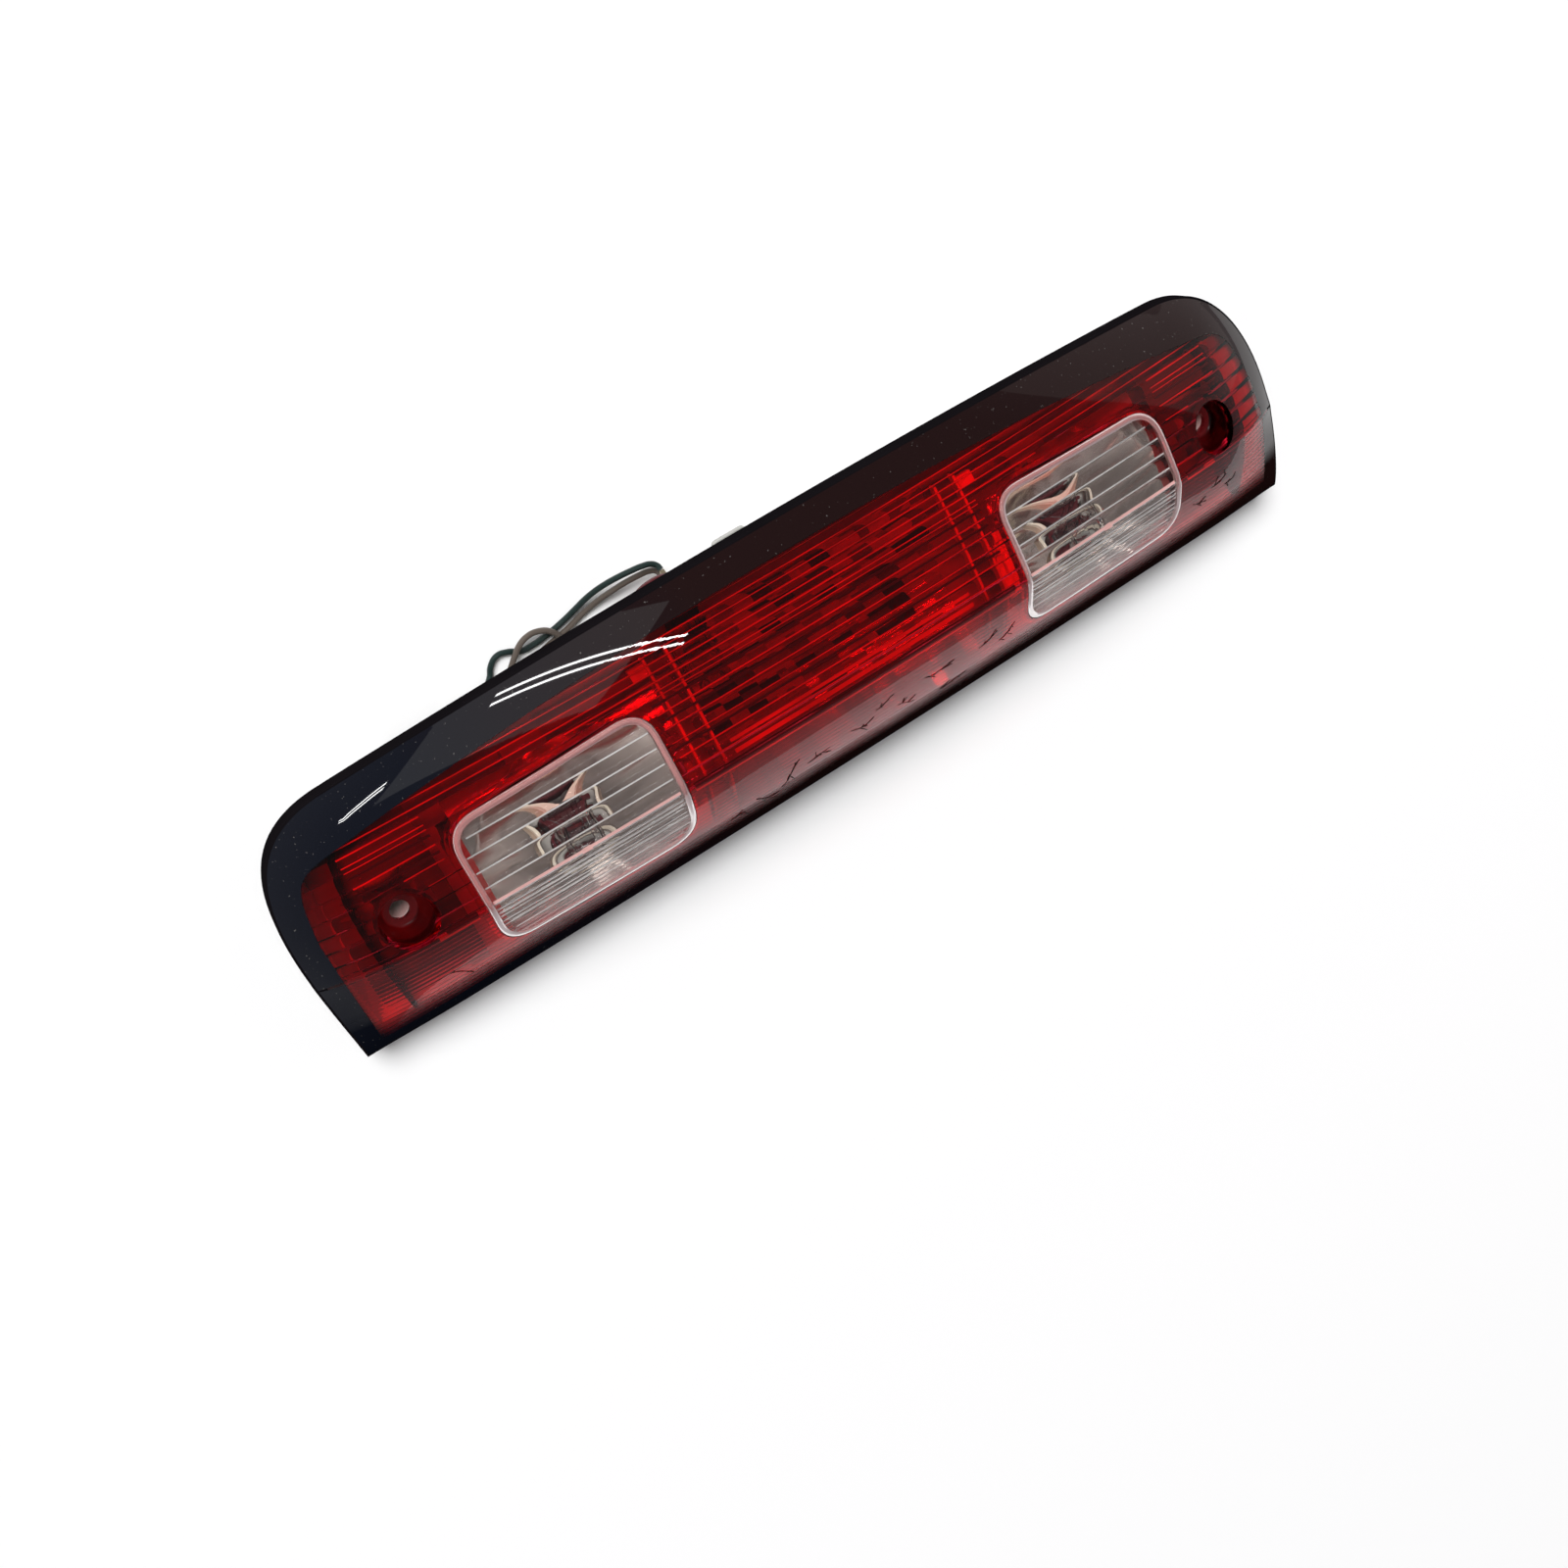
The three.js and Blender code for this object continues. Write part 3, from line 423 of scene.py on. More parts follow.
def red_glass(name, color, shadow, rough=0.0):
    """Clear red moulding with fine scratches and handling marks."""
    n = Nodes(name)
    scratches = n.noise(900, stretch=(0.06, 1, 1), detail=2)
    smears = n.noise(28, detail=4)
    n.set(Base_Color=color, IOR=1.47, Transmission_Weight=1.0)
    n.set(Roughness=n.ramp(smears, 0.55, 0.8, rough, rough + 0.04))
    n.bump(scratches, 0.008, 0.3)
    n.pane(shadow)
    return n.material


def clear_glass(name, color=(0.97, 0.95, 0.94), rough=0.01, through=1.0):
    """Clear moulding with smears; through below 1 makes it milky."""
    n = Nodes(name)
    smears = n.noise(40, detail=4)
    n.set(Base_Color=color, IOR=1.49, Transmission_Weight=through)
    n.set(Roughness=n.ramp(smears, 0.45, 0.8, rough, rough + 0.05))
    n.bump(n.noise(700, stretch=(0.1, 1, 1), detail=2), 0.012, 0.3)
    n.pane(tuple(c * 0.97 for c in color))
    return n.material


def border_paint():
    """Glossy black border: crisp round the ends and upper edge, fading in at the lower edge."""
    end_lean, corner = 0.16, 16.0               # slope of the end's edge, and its corner's rounding
    edge = 0.2                                  # half width of the crisp edge
    cloud_height = 6.0                          # how far the faded edge wanders
    matt, glossy = 14.0, 22.0                   # distances in from the lower edge
    bluish, brownish = -150.0, -40.0            # X where the black is cold, and where it is warm
    n = Nodes("border_paint")
    x, y, _ = n.axes()
    ax = n.math("ABSOLUTE", x)
    x2 = n.math("MULTIPLY", x, x)
    end_slope = n.math("MULTIPLY", n.math("MAXIMUM", y, 0.0), end_lean)
    past_end = n.math("SUBTRACT", n.math("ADD", ax, end_slope), PAINT_END)
    bow = n.math("MULTIPLY", x2, (FAR_BOW + PAINT_WIDEN) / FAR_HALF**2)
    upper = n.math("SUBTRACT", FAR_Y + FAR_BOW - PAINT_FAR, bow)
    past_upper = n.math("SUBTRACT", y, upper)
    crisp = n.ramp(n.math("SMOOTH_MAX", past_end, past_upper, corner), -edge, edge)
    lower = n.math("SUBTRACT", NEAR_Y + NEAR_BOW, n.math("MULTIPLY", x2, NEAR_BOW / NEAR_HALF**2))
    inwards = n.math("SUBTRACT", y, lower)
    cloud = n.math("MULTIPLY", n.math("SUBTRACT", n.noise(18, detail=5), 0.5), cloud_height)
    faded = n.ramp(n.math("ADD", inwards, cloud), PAINT_SOLID, PAINT_SOLID + PAINT_FADE, 1.0, 0.0)
    rim = n.ramp(inwards, PAINT_SOLID - 0.4, PAINT_SOLID + 0.8, 1.0, 0.0)
    dust = n.ramp(n.noise(900, detail=2), 0.7, 0.76)
    black = n.tint(n.ramp(x, bluish, brownish), (0.004, 0.005, 0.009), (0.011, 0.004, 0.004))
    n.set(Base_Color=n.tint(dust, black, (0.09, 0.085, 0.08)))
    n.set(Roughness=n.ramp(inwards, matt, glossy, 0.6, 0.015))
    n.set(Specular_IOR_Level=n.ramp(inwards, matt, glossy, 0.0, 0.4))
    n.set(Alpha=n.math("MAXIMUM", crisp, n.math("MAXIMUM", rim, faded), clamp=True))
    return n.material


def bright_metal(name, color, rough):
    """Vacuum-metallised plastic: slightly hazy, with faint orange peel."""
    n = Nodes(name)
    haze = n.noise(60, detail=5)
    n.set(Base_Color=n.tint(n.ramp(haze, 0.35, 0.7), color, tuple(c * 0.82 for c in color)))
    n.set(Metallic=0.93, Roughness=n.ramp(haze, 0.3, 0.7, rough, rough + 0.1))
    n.bump(n.noise(420, detail=2), 0.05, 0.25)
    return n.material


def brake_metal_painted_reflections():
    """Metallised tray whose facets are each a little darker or brighter: painted reflections in the
    base colour, with a painted highlight along the lower row.
    """
    facets = ((8.2, 6.1), (4.1, 4.4))           # coarse and fine cells
    painted_glint_below, painted_glint_above = -16.0, -12.0         # Y where the painted highlight on the lower row fades out
    n = Nodes("brake_reflector")
    x, y, _ = n.axes()
    shades = []
    for width, height in facets:
        cell = n.tree.nodes.new("ShaderNodeCombineXYZ")
        n.plug(n.math("FLOOR", n.math("DIVIDE", x, width)), cell.inputs[0])
        n.plug(n.math("FLOOR", n.math("DIVIDE", y, height)), cell.inputs[1])
        random_cell = n.tree.nodes.new("ShaderNodeTexWhiteNoise")
        n.tree.links.new(cell.outputs[0], random_cell.inputs[0])
        shades.append(random_cell.outputs[0])
    # painted reflections: each facet's base colour is darker or brighter at random
    cells = n.ramp(n.math("MINIMUM", shades[0], n.math("ADD", shades[1], 0.25)), 0.12, 0.62)
    bright = n.math("MAXIMUM", cells, n.ramp(y, painted_glint_below, painted_glint_above, 0.55, 0.0))
    # near-black facets are painted dark reflections; bright facets and the lower row are painted
    # highlights
    n.set(Base_Color=n.tint(bright, (0.06, 0.05, 0.05), (0.97, 0.88, 0.85)))
    n.set(Metallic=0.82, Roughness=n.ramp(bright, 0.0, 1.0, 0.3, 0.14))
    n.bump(n.noise(420, detail=2), 0.05, 0.25)
    return n.material


def moulded(name, color, rough=0.5, grain=0.06, wear=0.75, gloss=0.5):
    """Moulded plastic or rubber: fine grain, uneven sheen, dust in places."""
    n = Nodes(name)
    patches = n.noise(35, detail=5)
    n.set(Base_Color=n.tint(n.ramp(patches, 0.35, 0.75), color, tuple(c * wear for c in color)))
    n.set(Roughness=n.ramp(patches, 0.3, 0.7, rough, min(1.0, rough + 0.15)))
    n.set(Specular_IOR_Level=gloss)
    n.bump(n.noise(1600, detail=3), grain, 0.4)
    return n.material


def plain_metal(name, color):
    """Bare metal with drawn marks."""
    n = Nodes(name)
    marks = n.noise(900, stretch=(1, 0.2, 1), detail=3)
    n.set(Base_Color=color, Metallic=1.0, Roughness=n.ramp(marks, 0.3, 0.7, 0.3, 0.5))
    n.bump(marks, 0.02, 0.3)
    return n.material


def bulb_glass():
    """Thin drawn glass, slightly wavy."""
    n = Nodes("bulb_glass")
    n.set(Base_Color=(0.97, 0.98, 0.98), IOR=1.5, Transmission_Weight=1.0, Roughness=0.01)
    n.bump(n.noise(90, detail=2), 0.05, 0.2)
    n.pane((0.95, 0.95, 0.95))
    return n.material


RED = red_glass("red_lens", (0.84, 0.012, 0.04), (0.92, 0.06, 0.085))
RED_EDGE = red_glass("red_light_guide", (0.95, 0.05, 0.03), (0.95, 0.15, 0.12), rough=0.12)
RED_BOWL = red_glass("red_bowl", (0.55, 0.17, 0.19), (0.5, 0.16, 0.18), rough=0.2)
RED_LINE = moulded("red_line", (0.8, 0.02, 0.025), 0.3, grain=0.01, wear=0.25)
DARK_LINE = moulded("dark_line", (0.05, 0.004, 0.02), 0.4, grain=0.01)
AMBER_RED = moulded("prism_red", (0.9, 0.07, 0.012), 0.35, grain=0.01, wear=0.55)
RIM_CLEAR = clear_glass("window_rim", (0.74, 0.42, 0.41), 0.1, through=0.7)
FROSTED = moulded("flute_joint", (0.62, 0.62, 0.62), 0.35, grain=0.01, wear=0.45)
# painted highlight: pale pink line laid along each window's crease
CREASE_PAINTED_HIGHLIGHT = moulded("crease_painted_highlight", (0.85, 0.5, 0.48), 0.3, grain=0.01, wear=0.6)
LINER = moulded("end_liner", (0.1, 0.012, 0.02), 0.45, grain=0.02, wear=0.3)
CREAM = moulded("collar_cream", (0.78, 0.72, 0.6), 0.3, grain=0.01)
CLEAR = clear_glass("clear_lens")
PAINT = border_paint()
CHROME = bright_metal("reflector_bright", (0.8, 0.7, 0.64), 0.1)
BRAKE_CHROME_PAINTED_REFLECTIONS = brake_metal_painted_reflections()
HOUSING = moulded("housing_grey", (0.5, 0.5, 0.47), 0.5)
FOAM = moulded("foam_black", (0.02, 0.02, 0.021), 0.85, grain=0.25)
MAROON = moulded("socket_maroon", (0.085, 0.012, 0.016), 0.38)
SEAL = moulded("seal_rubber", (0.16, 0.025, 0.02), 0.6)
GLASS = bulb_glass()
TUNGSTEN = plain_metal("filament_wire", (0.2, 0.2, 0.21))
BLACK_WALL = moulded("lens_black", (0.006, 0.005, 0.006), 0.5, grain=0.004, gloss=0.0)
BRASS = plain_metal("contact_brass", (0.72, 0.62, 0.42))
WIRE_DARK = moulded("wire_dark", (0.012, 0.024, 0.022), 0.28, grain=0.02)
WIRE_BROWN = moulded("wire_brown", (0.1, 0.08, 0.066), 0.3, grain=0.02)
CONNECTOR = moulded("connector_black", (0.015, 0.016, 0.018), 0.4)
# near-black hairlines along the cracks
CRACK = moulded("crack_dirt", (0.02, 0.007, 0.007), 0.8, gloss=0.1)


# ---------------- camera
def make_camera():
    """Camera behind and above the upper edge, looking down at the lens."""
    data = bpy.data.cameras.new("camera")
    data.sensor_width = 36
    data.lens = 38.25
    data.clip_end = 50
    camera = add_object("camera", data)
    camera.location = (-0.1755, 0.2393, 0.5519)
    look = Vector((0.2300, -0.4614, -0.8569))
    right = Vector((0.8235, -0.3769, 0.4240)).normalized()
    up = right.cross(look).normalized()
    turn = camera.matrix_world.copy()
    for row in range(3):
        turn[row][0], turn[row][1], turn[row][2] = right[row], up[row], -look[row]
        turn[row][3] = camera.location[row]
    camera.matrix_world = turn
    bpy.context.scene.camera = camera


make_camera()

# ---------------- pigtail
ROUTES = {
    "wire_brake_dark": [
        (-37.5, 46.2, 10.3), (-37.9, 47.8, 9.2), (-39.6, 49.3, 8.9), (-42.8, 50.3, 9),
        (-47.3, 50.7, 8.5), (-52.1, 50.7, 7.4), (-56.6, 50.3, 6), (-61.1, 49.5, 4.6),
        (-65, 48.4, 3.5), (-69.5, 46.7, 2.4), (-75.6, 44.6, LIE), (-82.5, 43.3, LIE),
        (-88.5, 42.7, LIE), (-93.5, 43, LIE), (-97.4, 45, LIE), (-101.6, 45.8, LIE),
        (-105.2, 43.6, LIE), (-107.4, 40.4, 1.5), (-110.6, 38.4, 3.1), (-115, 36.9, 4.9),
        (-120, 36.2, 6), (-125.7, 36.1, 6.2),
    ],
    "wire_brake_brown": [
        (-37.5, 43.7, 6.8), (-38.3, 45.2, 5.8), (-40.6, 46.3, 5.6), (-44.4, 46.8, 5.6),
        (-49.5, 46.8, 5), (-55, 46.2, 3.9), (-60.3, 45.3, 2.6), (-67.9, 43.4, LIE),
        (-74.5, 41.5, LIE), (-82, 40, LIE), (-89, 38.6, LIE), (-95.5, 37.6, LIE),
        (-102, 36.8, LIE), (-109, 36.2, 1.6), (-115.5, 36.1, 2.6), (-121, 36.1, 3),
        (-125.7, 36.1, 3),
    ],
    "wire_left_brown": [
        (-107.8, -1, 8), (-107.8, 4, 7.8), (-107.8, 10, 6.8), (-107.8, 16, 5.1), (-107.6, 21, 4),
        (-106.6, 25.4, 3.8), (-102.6, 29.4, 3.8), (-96.6, 31.8, 3.8), (-90.4, 33, 3.7),
        (-84.6, 34.4, 3.6), (-80.6, 37.2, 3.7), (-79.4, 41, 4), (-81.2, 44.6, 4.3),
        (-85, 47, 4.2), (-89.4, 47.4, 4.1), (-93.4, 45.9, 4), (-97, 42.9, 4),
        (-100.6, 39.5, 3.9), (-104.6, 36.6, 4.2), (-109.4, 34.6, 5.1), (-114.6, 33.4, 5.9),
        (-120, 33, 6.2), (-125.7, 33, 6.2),
    ],
    "wire_left_dark": [
        (-112.2, -1, 8), (-112.2, 4, 7.8), (-112.2, 10, 6.8), (-112.2, 16, 5.1), (-112.2, 21, 4),
        (-112.8, 25, 4), (-115.2, 28.2, 5.1), (-119.6, 29.7, 6), (-125.7, 29.9, 6.2),
    ],
    "wire_right_brown": [
        (107.8, -1, 8), (107.8, 4, 7.7), (107.8, 10, 5.4), (107.8, 15, 3), (107.8, 20, 1.7),
        (106.9, 24.6, LIE), (102.4, 26.4, LIE), (90, 25.7, LIE), (75, 25.9, LIE), (60, 25.5, LIE),
        (40, 25.9, LIE), (20, 25.6, LIE), (0, 25.8, LIE), (-20, 25.5, LIE), (-40, 25.8, LIE),
        (-60, 25.6, LIE), (-80, 25.7, LIE), (-94, 25.6, LIE), (-105, 26.8, LIE),
        (-112.4, 28.8, 1.8), (-119, 29.8, 2.8), (-125.7, 29.9, 3),
    ],
    "wire_right_dark": [
        (112.2, -1, 8), (112.2, 4, 7.7), (112.2, 10, 5.4), (112.2, 15, 3), (112, 20.5, 1.6),
        (110.2, 25.6, LIE), (105, 28.7, LIE), (94, 29, LIE), (78, 28.7, LIE), (60, 29, LIE),
        (40, 28.7, LIE), (20, 29, LIE), (0, 28.7, LIE), (-20, 28.9, LIE), (-40, 28.6, LIE),
        (-60, 28.8, LIE), (-78, 28.6, LIE), (-92, 29, LIE), (-101.6, 30.6, LIE),
        (-109.6, 32.4, 1.8), (-116.4, 33, 2.7), (-121, 33, 3), (-125.7, 33, 3),
    ],
}


def make_wire(node, route):
    """Round limp wire along a route, from its socket to the connector."""
    curve = bpy.data.curves.new(node + "_cord", "CURVE")
    curve.dimensions = "3D"
    curve.bevel_depth = WIRE_R * MM
    curve.bevel_resolution = 5
    curve.resolution_u = 10
    curve.use_fill_caps = True
    spline = curve.splines.new("BEZIER")
    spline.bezier_points.add(len(route) - 1)
    for point, place in zip(spline.bezier_points, route):
        point.co = [c * MM for c in place]
        point.handle_left_type = point.handle_right_type = "AUTO"
    curve.materials.append(WIRE_DARK if node.endswith("dark") else WIRE_BROWN)
    wire = add_object(node + "_cord", curve)
    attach(wire, "lamp")
    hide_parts(node)


for node, route in ROUTES.items():
    make_wire(node, route)


# ---------------- red lens
def window_outline(side, grow):
    """Counterclockwise outline of a window, grown outwards; corners are quadratic curves."""
    w = WINDOW
    curve_steps, line_steps = 13, 8
    corners = np.array([
        (w["inner"] - grow, w["low"] - grow), (w["outer"] + grow, w["low"] - grow),
        (w["outer"] + grow, w["high_outer"] + grow), (w["inner"] - grow, w["high_inner"] + grow),
    ])
    radius = w["corner"] + grow
    loop = []
    for i, corner in enumerate(corners):
        before, after = corners[i - 1], corners[(i + 1) % 4]
        a = corner + (before - corner) / np.linalg.norm(before - corner) * radius
        b = corner + (after - corner) / np.linalg.norm(after - corner) * radius
        next_a = after + (corner - after) / np.linalg.norm(corner - after) * radius
        for t in np.linspace(0, 1, curve_steps):
            loop.append((1 - t) ** 2 * a + 2 * (1 - t) * t * corner + t * t * b)
        for t in np.linspace(0, 1, line_steps)[1:-1]:
            loop.append(mix(b, next_a, t))
    loop = np.array(loop)
    if side < 0:
        loop = loop[::-1] * (-1, 1)
    return loop


def bowl_radius(z, mouth):
    """Radius of the screw bowl at a height."""
    b = BOWL
    return mix(b["foot"], b["top"] + 1.1, (z - b["seat"]) / (mouth + 4 - b["seat"]))


def bowl_cutter(side):
    """Closed cone that clears the lens for a screw bowl."""
    mouth = float(lens_z(BOWL["x"], BOWL["y"]))
    rings = []
    for z in (BOWL["seat"] - 3, mouth + 12):
        corner = [(bowl_radius(z, mouth), z)]
        rings.append([spoke((side * BOWL["x"], BOWL["y"]), a, corner)[0] for a in turns(48)])
    return capped(*rings)


def bumps(up, pitch):
    """Round bumps, from 0 to 1, across the lines that follow the crease."""
    return 1 - (2 * ((up / pitch) % 1) - 1) ** 2


def flute_depth(x, y):
    """How far the flutes under the red lens stand out of its inner face."""
    up = y - ridge_y(x)
    return np.where(up > 1, 0.95 * bumps(up, FLUTE), 0.2 * bumps(up, FINE_FLUTE))


def make_lens():
    """Red shell with flutes underneath, black along its outline, open for windows and bowls."""
    us = np.unique(np.concatenate([
        np.linspace(-0.9, 0.9, 121), np.linspace(0.9, 1, 15), -np.linspace(0.9, 1, 15),
    ]))
    shares = np.unique(np.concatenate([
        np.linspace(0, 1, 260), np.linspace(0, 0.02, 6), np.linspace(0.97, 1, 12),
        np.linspace(0.35, 0.45, 50),
    ]))
    u, share = np.meshgrid(us, shares)

    def layer(inset):
        x, y = plan(u, share, inset)
        return x, y, lens_z(x, y)

    x, y, z = layer(RIM_FILLET)
    upper = np.stack([x, y, z], -1)
    rings = []
    for angle in (30, 60, 90):
        a = math.radians(angle)
        rx, ry = plan(u, share, RIM_FILLET * (1 - math.sin(a)))
        rings.append(np.stack([rx, ry, z - RIM_FILLET * (1 - math.cos(a))], -1))
    rim = layer(0)[2]
    x, y = plan(u, share, 0)
    rings.append(np.stack([x, y, rim - SKIRT], -1))
    x, y, z = layer(LENS_T)
    rings.append(np.stack([x, y, rim - SKIRT], -1))
    # the flutes grow in from the outline
    growth = np.minimum(np.minimum(share, 1 - share) * 60, (1 - np.abs(u)) * 120).clip(0, 1)
    lower = np.stack([x, y, z - LENS_T - flute_depth(x, y) * growth], -1)
    lens = make_object("outer_lens_clear_red", *grid_solid(upper, lower, rings), RED)
    lens.data.materials.append(BLACK_WALL)
    for face in lens.data.polygons:
        x, y, _ = face.center / MM
        edge_x = float(np.interp(y, END_Y, END_X))
        if min(edge_x - abs(x), y - near_y(x), far_y(x) - y) < WALL_BLACK:
            face.material_index = 1

    tools = []
    for side in (-1, 1):
        tools += [prism(window_outline(side, GAP), 0, ABOVE_ALL), bowl_cutter(side)]
    carve(lens, join_parts(tools))
    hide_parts("outer_lens")


def make_paint():
    """Thin glossy black skin over the border of the outer face."""
    us = np.linspace(-1, 1, 240)
    shares = np.concatenate([
        np.linspace(0, 0.22, 40), np.linspace(0.25, 0.7, 24), np.linspace(0.72, 1, 60),
    ])
    u, share = np.meshgrid(us, shares)
    x, y = plan(u, share, RIM_FILLET)
    z = lens_z(x, y) + SURFACE_LIFT
    keep = []
    for face in grid_faces(0, len(shares), len(us)):
        face_x = np.abs(x.ravel()[list(face)])
        face_y = y.ravel()[list(face)]
        if face_x.min() > SKIN_END or face_y.min() > SKIN_FAR or face_y.max() < SKIN_NEAR:
            keep.append(face)
    points = np.stack([x, y, z], -1).reshape(-1, 3)
    paint = make_object("lens_border_paint", points, keep, PAINT)


def make_end_blinds():
    """Black walls that hang under the lens, a little way in from each end."""
    inset, deepest, lowest, half_width = 24.0, 19.0, 17.0, 0.8
    parts = []
    for side in (-1, 1):
        ys = np.linspace(-42, 24, 30)
        xs = np.interp(ys, END_Y, END_X) - inset
        tops = lens_z(xs, ys) - LENS_T - 1.2
        line = np.stack([side * xs, ys, tops], -1)
        parts.append(slab(line, np.minimum(deepest, tops - lowest), half_width, side, (1, 0, 0)))
    blinds = make_object("lens_end_blinds", *join_parts(parts), BLACK_WALL, 40)


def make_end_liners():
    """Dark rippled trays under the ends of the lens, round the screw bowls."""
    inset, below, thickness = 9, 12, 0.8
    ripple, pitch = 1.2, 9
    for side, word in SIDES:
        x, y = np.meshgrid(side_span(side, 156.5, 196, 22), np.linspace(-42, 26, 30))
        limit = np.interp(y, END_Y, END_X) - inset
        x = np.clip(x, -limit, limit)
        z = lens_z(x, y) - below + ripple * np.cos(y * 2 * np.pi / pitch)
        liner = make_object("end_liner_" + word, *layered(x, y, z, z - thickness), LINER)
        centre = Vector((side * BOWL["x"], BOWL["y"], 0))
        carve(liner, tilted_cylinder(centre, UPRIGHT, 10, 45, 12.6))


def free_of_openings(x, y, gap):
    """Whether a place under the lens is clear of the windows, the bowls and the border."""
    end_border, far_border, near_border = 13, 5, 3
    ax = abs(x)
    w = WINDOW
    in_window = w["inner"] - gap < ax < w["outer"] + gap and w["low"] - gap < y < w["high_inner"] + gap
    in_bowl = math.hypot(ax - BOWL["x"], y - BOWL["y"]) < BOWL["top"] + gap
    in_end = np.interp(y, END_Y, END_X) - ax < end_border
    in_edge = far_y(x) - y < far_border or y - near_y(x) < near_border
    return not (in_window or in_bowl or in_end or in_edge)


def rib_lines(offset, depth, half_width, reach=LINE_REACH):
    """Slabs that follow the crease at a distance above it, wherever nothing is in the way."""
    farthest, step, gap, clearance = 196.0, 3.0, 3.0, 0.05
    runs = [[]]
    for x in np.arange(-farthest, farthest + 0.1, step):
        y = float(ridge_y(x)) + offset
        if abs(x) < reach and free_of_openings(x, y, gap):
            runs[-1].append((x, y, float(lens_z(x, y)) - LENS_T - clearance))
        elif runs[-1]:
            runs.append([])
    return [slab(run, depth, half_width, 1, (0, 1, 0)) for run in runs if len(run) > 3]


def make_flute_lines():
    """Bright and dark lines between the flutes and along the crease."""
    red, dark = [], []
    for k in range(1, 7):
        red += rib_lines(k * FLUTE, LINE_DEPTH, 0.13 + 0.05 * (k % 3))
    for offset in FINE_LINES:
        red += rib_lines(offset, LINE_DEPTH, chance.uniform(0.05, 0.2))
    for offset, half_width in BROAD_LINES:
        red += rib_lines(offset, LINE_DEPTH, half_width, reach=GUIDE_XS[0] - 2.5)
    red += rib_lines(-2.0, 0.8, 0.35)
    for offset, half_width in DARK_LINES:
        dark += rib_lines(offset, 1.0, half_width)
    for name, parts, material in (("red", red, RED_LINE), ("dark", dark, DARK_LINE)):
        lines = make_object("lens_lines_" + name, *join_parts(parts), material, 40)


def make_bowls():
    """Conical cups down to the screw holes; their walls end under the lens."""
    b = BOWL
    seat, foot, wall, hole = b["seat"], b["foot"], b["wall"], b["hole"]
    mouth = float(lens_z(b["x"], b["y"]))
    for side, word in SIDES:
        centre = np.array([side * b["x"], b["y"]])
        sections = []
        for a in turns(64):
            z = mouth
            for _ in range(4):
                px, py = spoke(centre, a, [(bowl_radius(z, mouth), z)])[0][:2]
                z = float(lens_z(px, py)) - LENS_T - 0.95
            r = bowl_radius(z, mouth)
            sections.append(spoke(centre, a, [
                (hole, seat), (foot - 1.2, seat), (foot - 0.35, seat + 0.35), (foot, seat + 1.2),
                (r, z), (r + wall, z), (foot + wall, seat - wall + 1),
                (foot + wall - 1, seat - wall), (hole, seat - wall),
            ]))
        cup = make_object("screw_bowl_" + word, *sweep(np.array(sections)[:, ::-1]), RED_BOWL, 50)


def make_ribs():
    """Light-guide ribs under the lens, with a square lug beside the outer one."""
    lug_x, lug_low, lug_high, lug_half = 68.4, 28, 32, 3.0
    parts = []
    for side in (-1, 1):
        for x in GUIDE_XS:
            ys = np.linspace(GUIDE_LOW, GUIDE_HIGH, 36)
            line = np.stack([np.full_like(ys, side * (x + 0.75)), ys, lens_z(x, ys) - LENS_T - 1.1], -1)
            parts.append(slab(line, 3.5, 0.5, 1, (1, 0, 0)))
        ys = np.linspace(lug_low, lug_high, 3)
        tops = lens_z(lug_x - 0.4, ys) - LENS_T - 0.8
        line = np.stack([np.full_like(ys, side * lug_x), ys, tops], -1)
        parts.append(slab(line, 3.0, lug_half, 1, (1, 0, 0)))
    ribs = make_object("lens_light_guides", *join_parts(parts), RED_LINE, 40)


def make_window_walls():
    """Red walls that hang from the lens round each window."""
    depth = 7.0
    for side, word in SIDES:
        inner, outer = window_outline(side, 0.6), window_outline(side, 2.0)
        top_in, top_out = lens_z(*inner.T) - LENS_T - 0.8, lens_z(*outer.T) - LENS_T - 0.8
        sections = np.stack([
            np.column_stack([outer, top_out]), np.column_stack([outer, top_out - depth]),
            np.column_stack([inner, top_in - depth]), np.column_stack([inner, top_in]),
        ], 1)
        wall = make_object("lens_window_wall_" + word, *sweep(sections), RED_EDGE, 40)


def make_prisms():
    """Column of stepped prisms between the right-hand outer rib and the window."""
    pitch, width, height, depth = 4.2, 2.6, 3.9, 3
    parts = []
    for k, y in enumerate(np.arange(-16.0, 9.0, pitch)):
        for m, x in enumerate((66.0, 68.8)):
            drop = 1.0 + 0.8 * ((k + m) % 3)
            z = float(lens_z(x + 1.2, y + 2)) - LENS_T - 1.2
            loop = [(x, y), (x + width, y), (x + width, y + height), (x, y + height)]
            points, faces = prism(loop, z - depth - drop, z - drop)
            points[4:, 2] += chance.uniform(-0.7, 0.7, 4)
            parts.append((points, faces))
    column = make_object("lens_prism_column", *join_parts(parts), AMBER_RED, 20)


make_lens()
make_paint()
make_end_blinds()
make_end_liners()
make_flute_lines()
make_bowls()
make_ribs()
make_window_walls()
make_prisms()


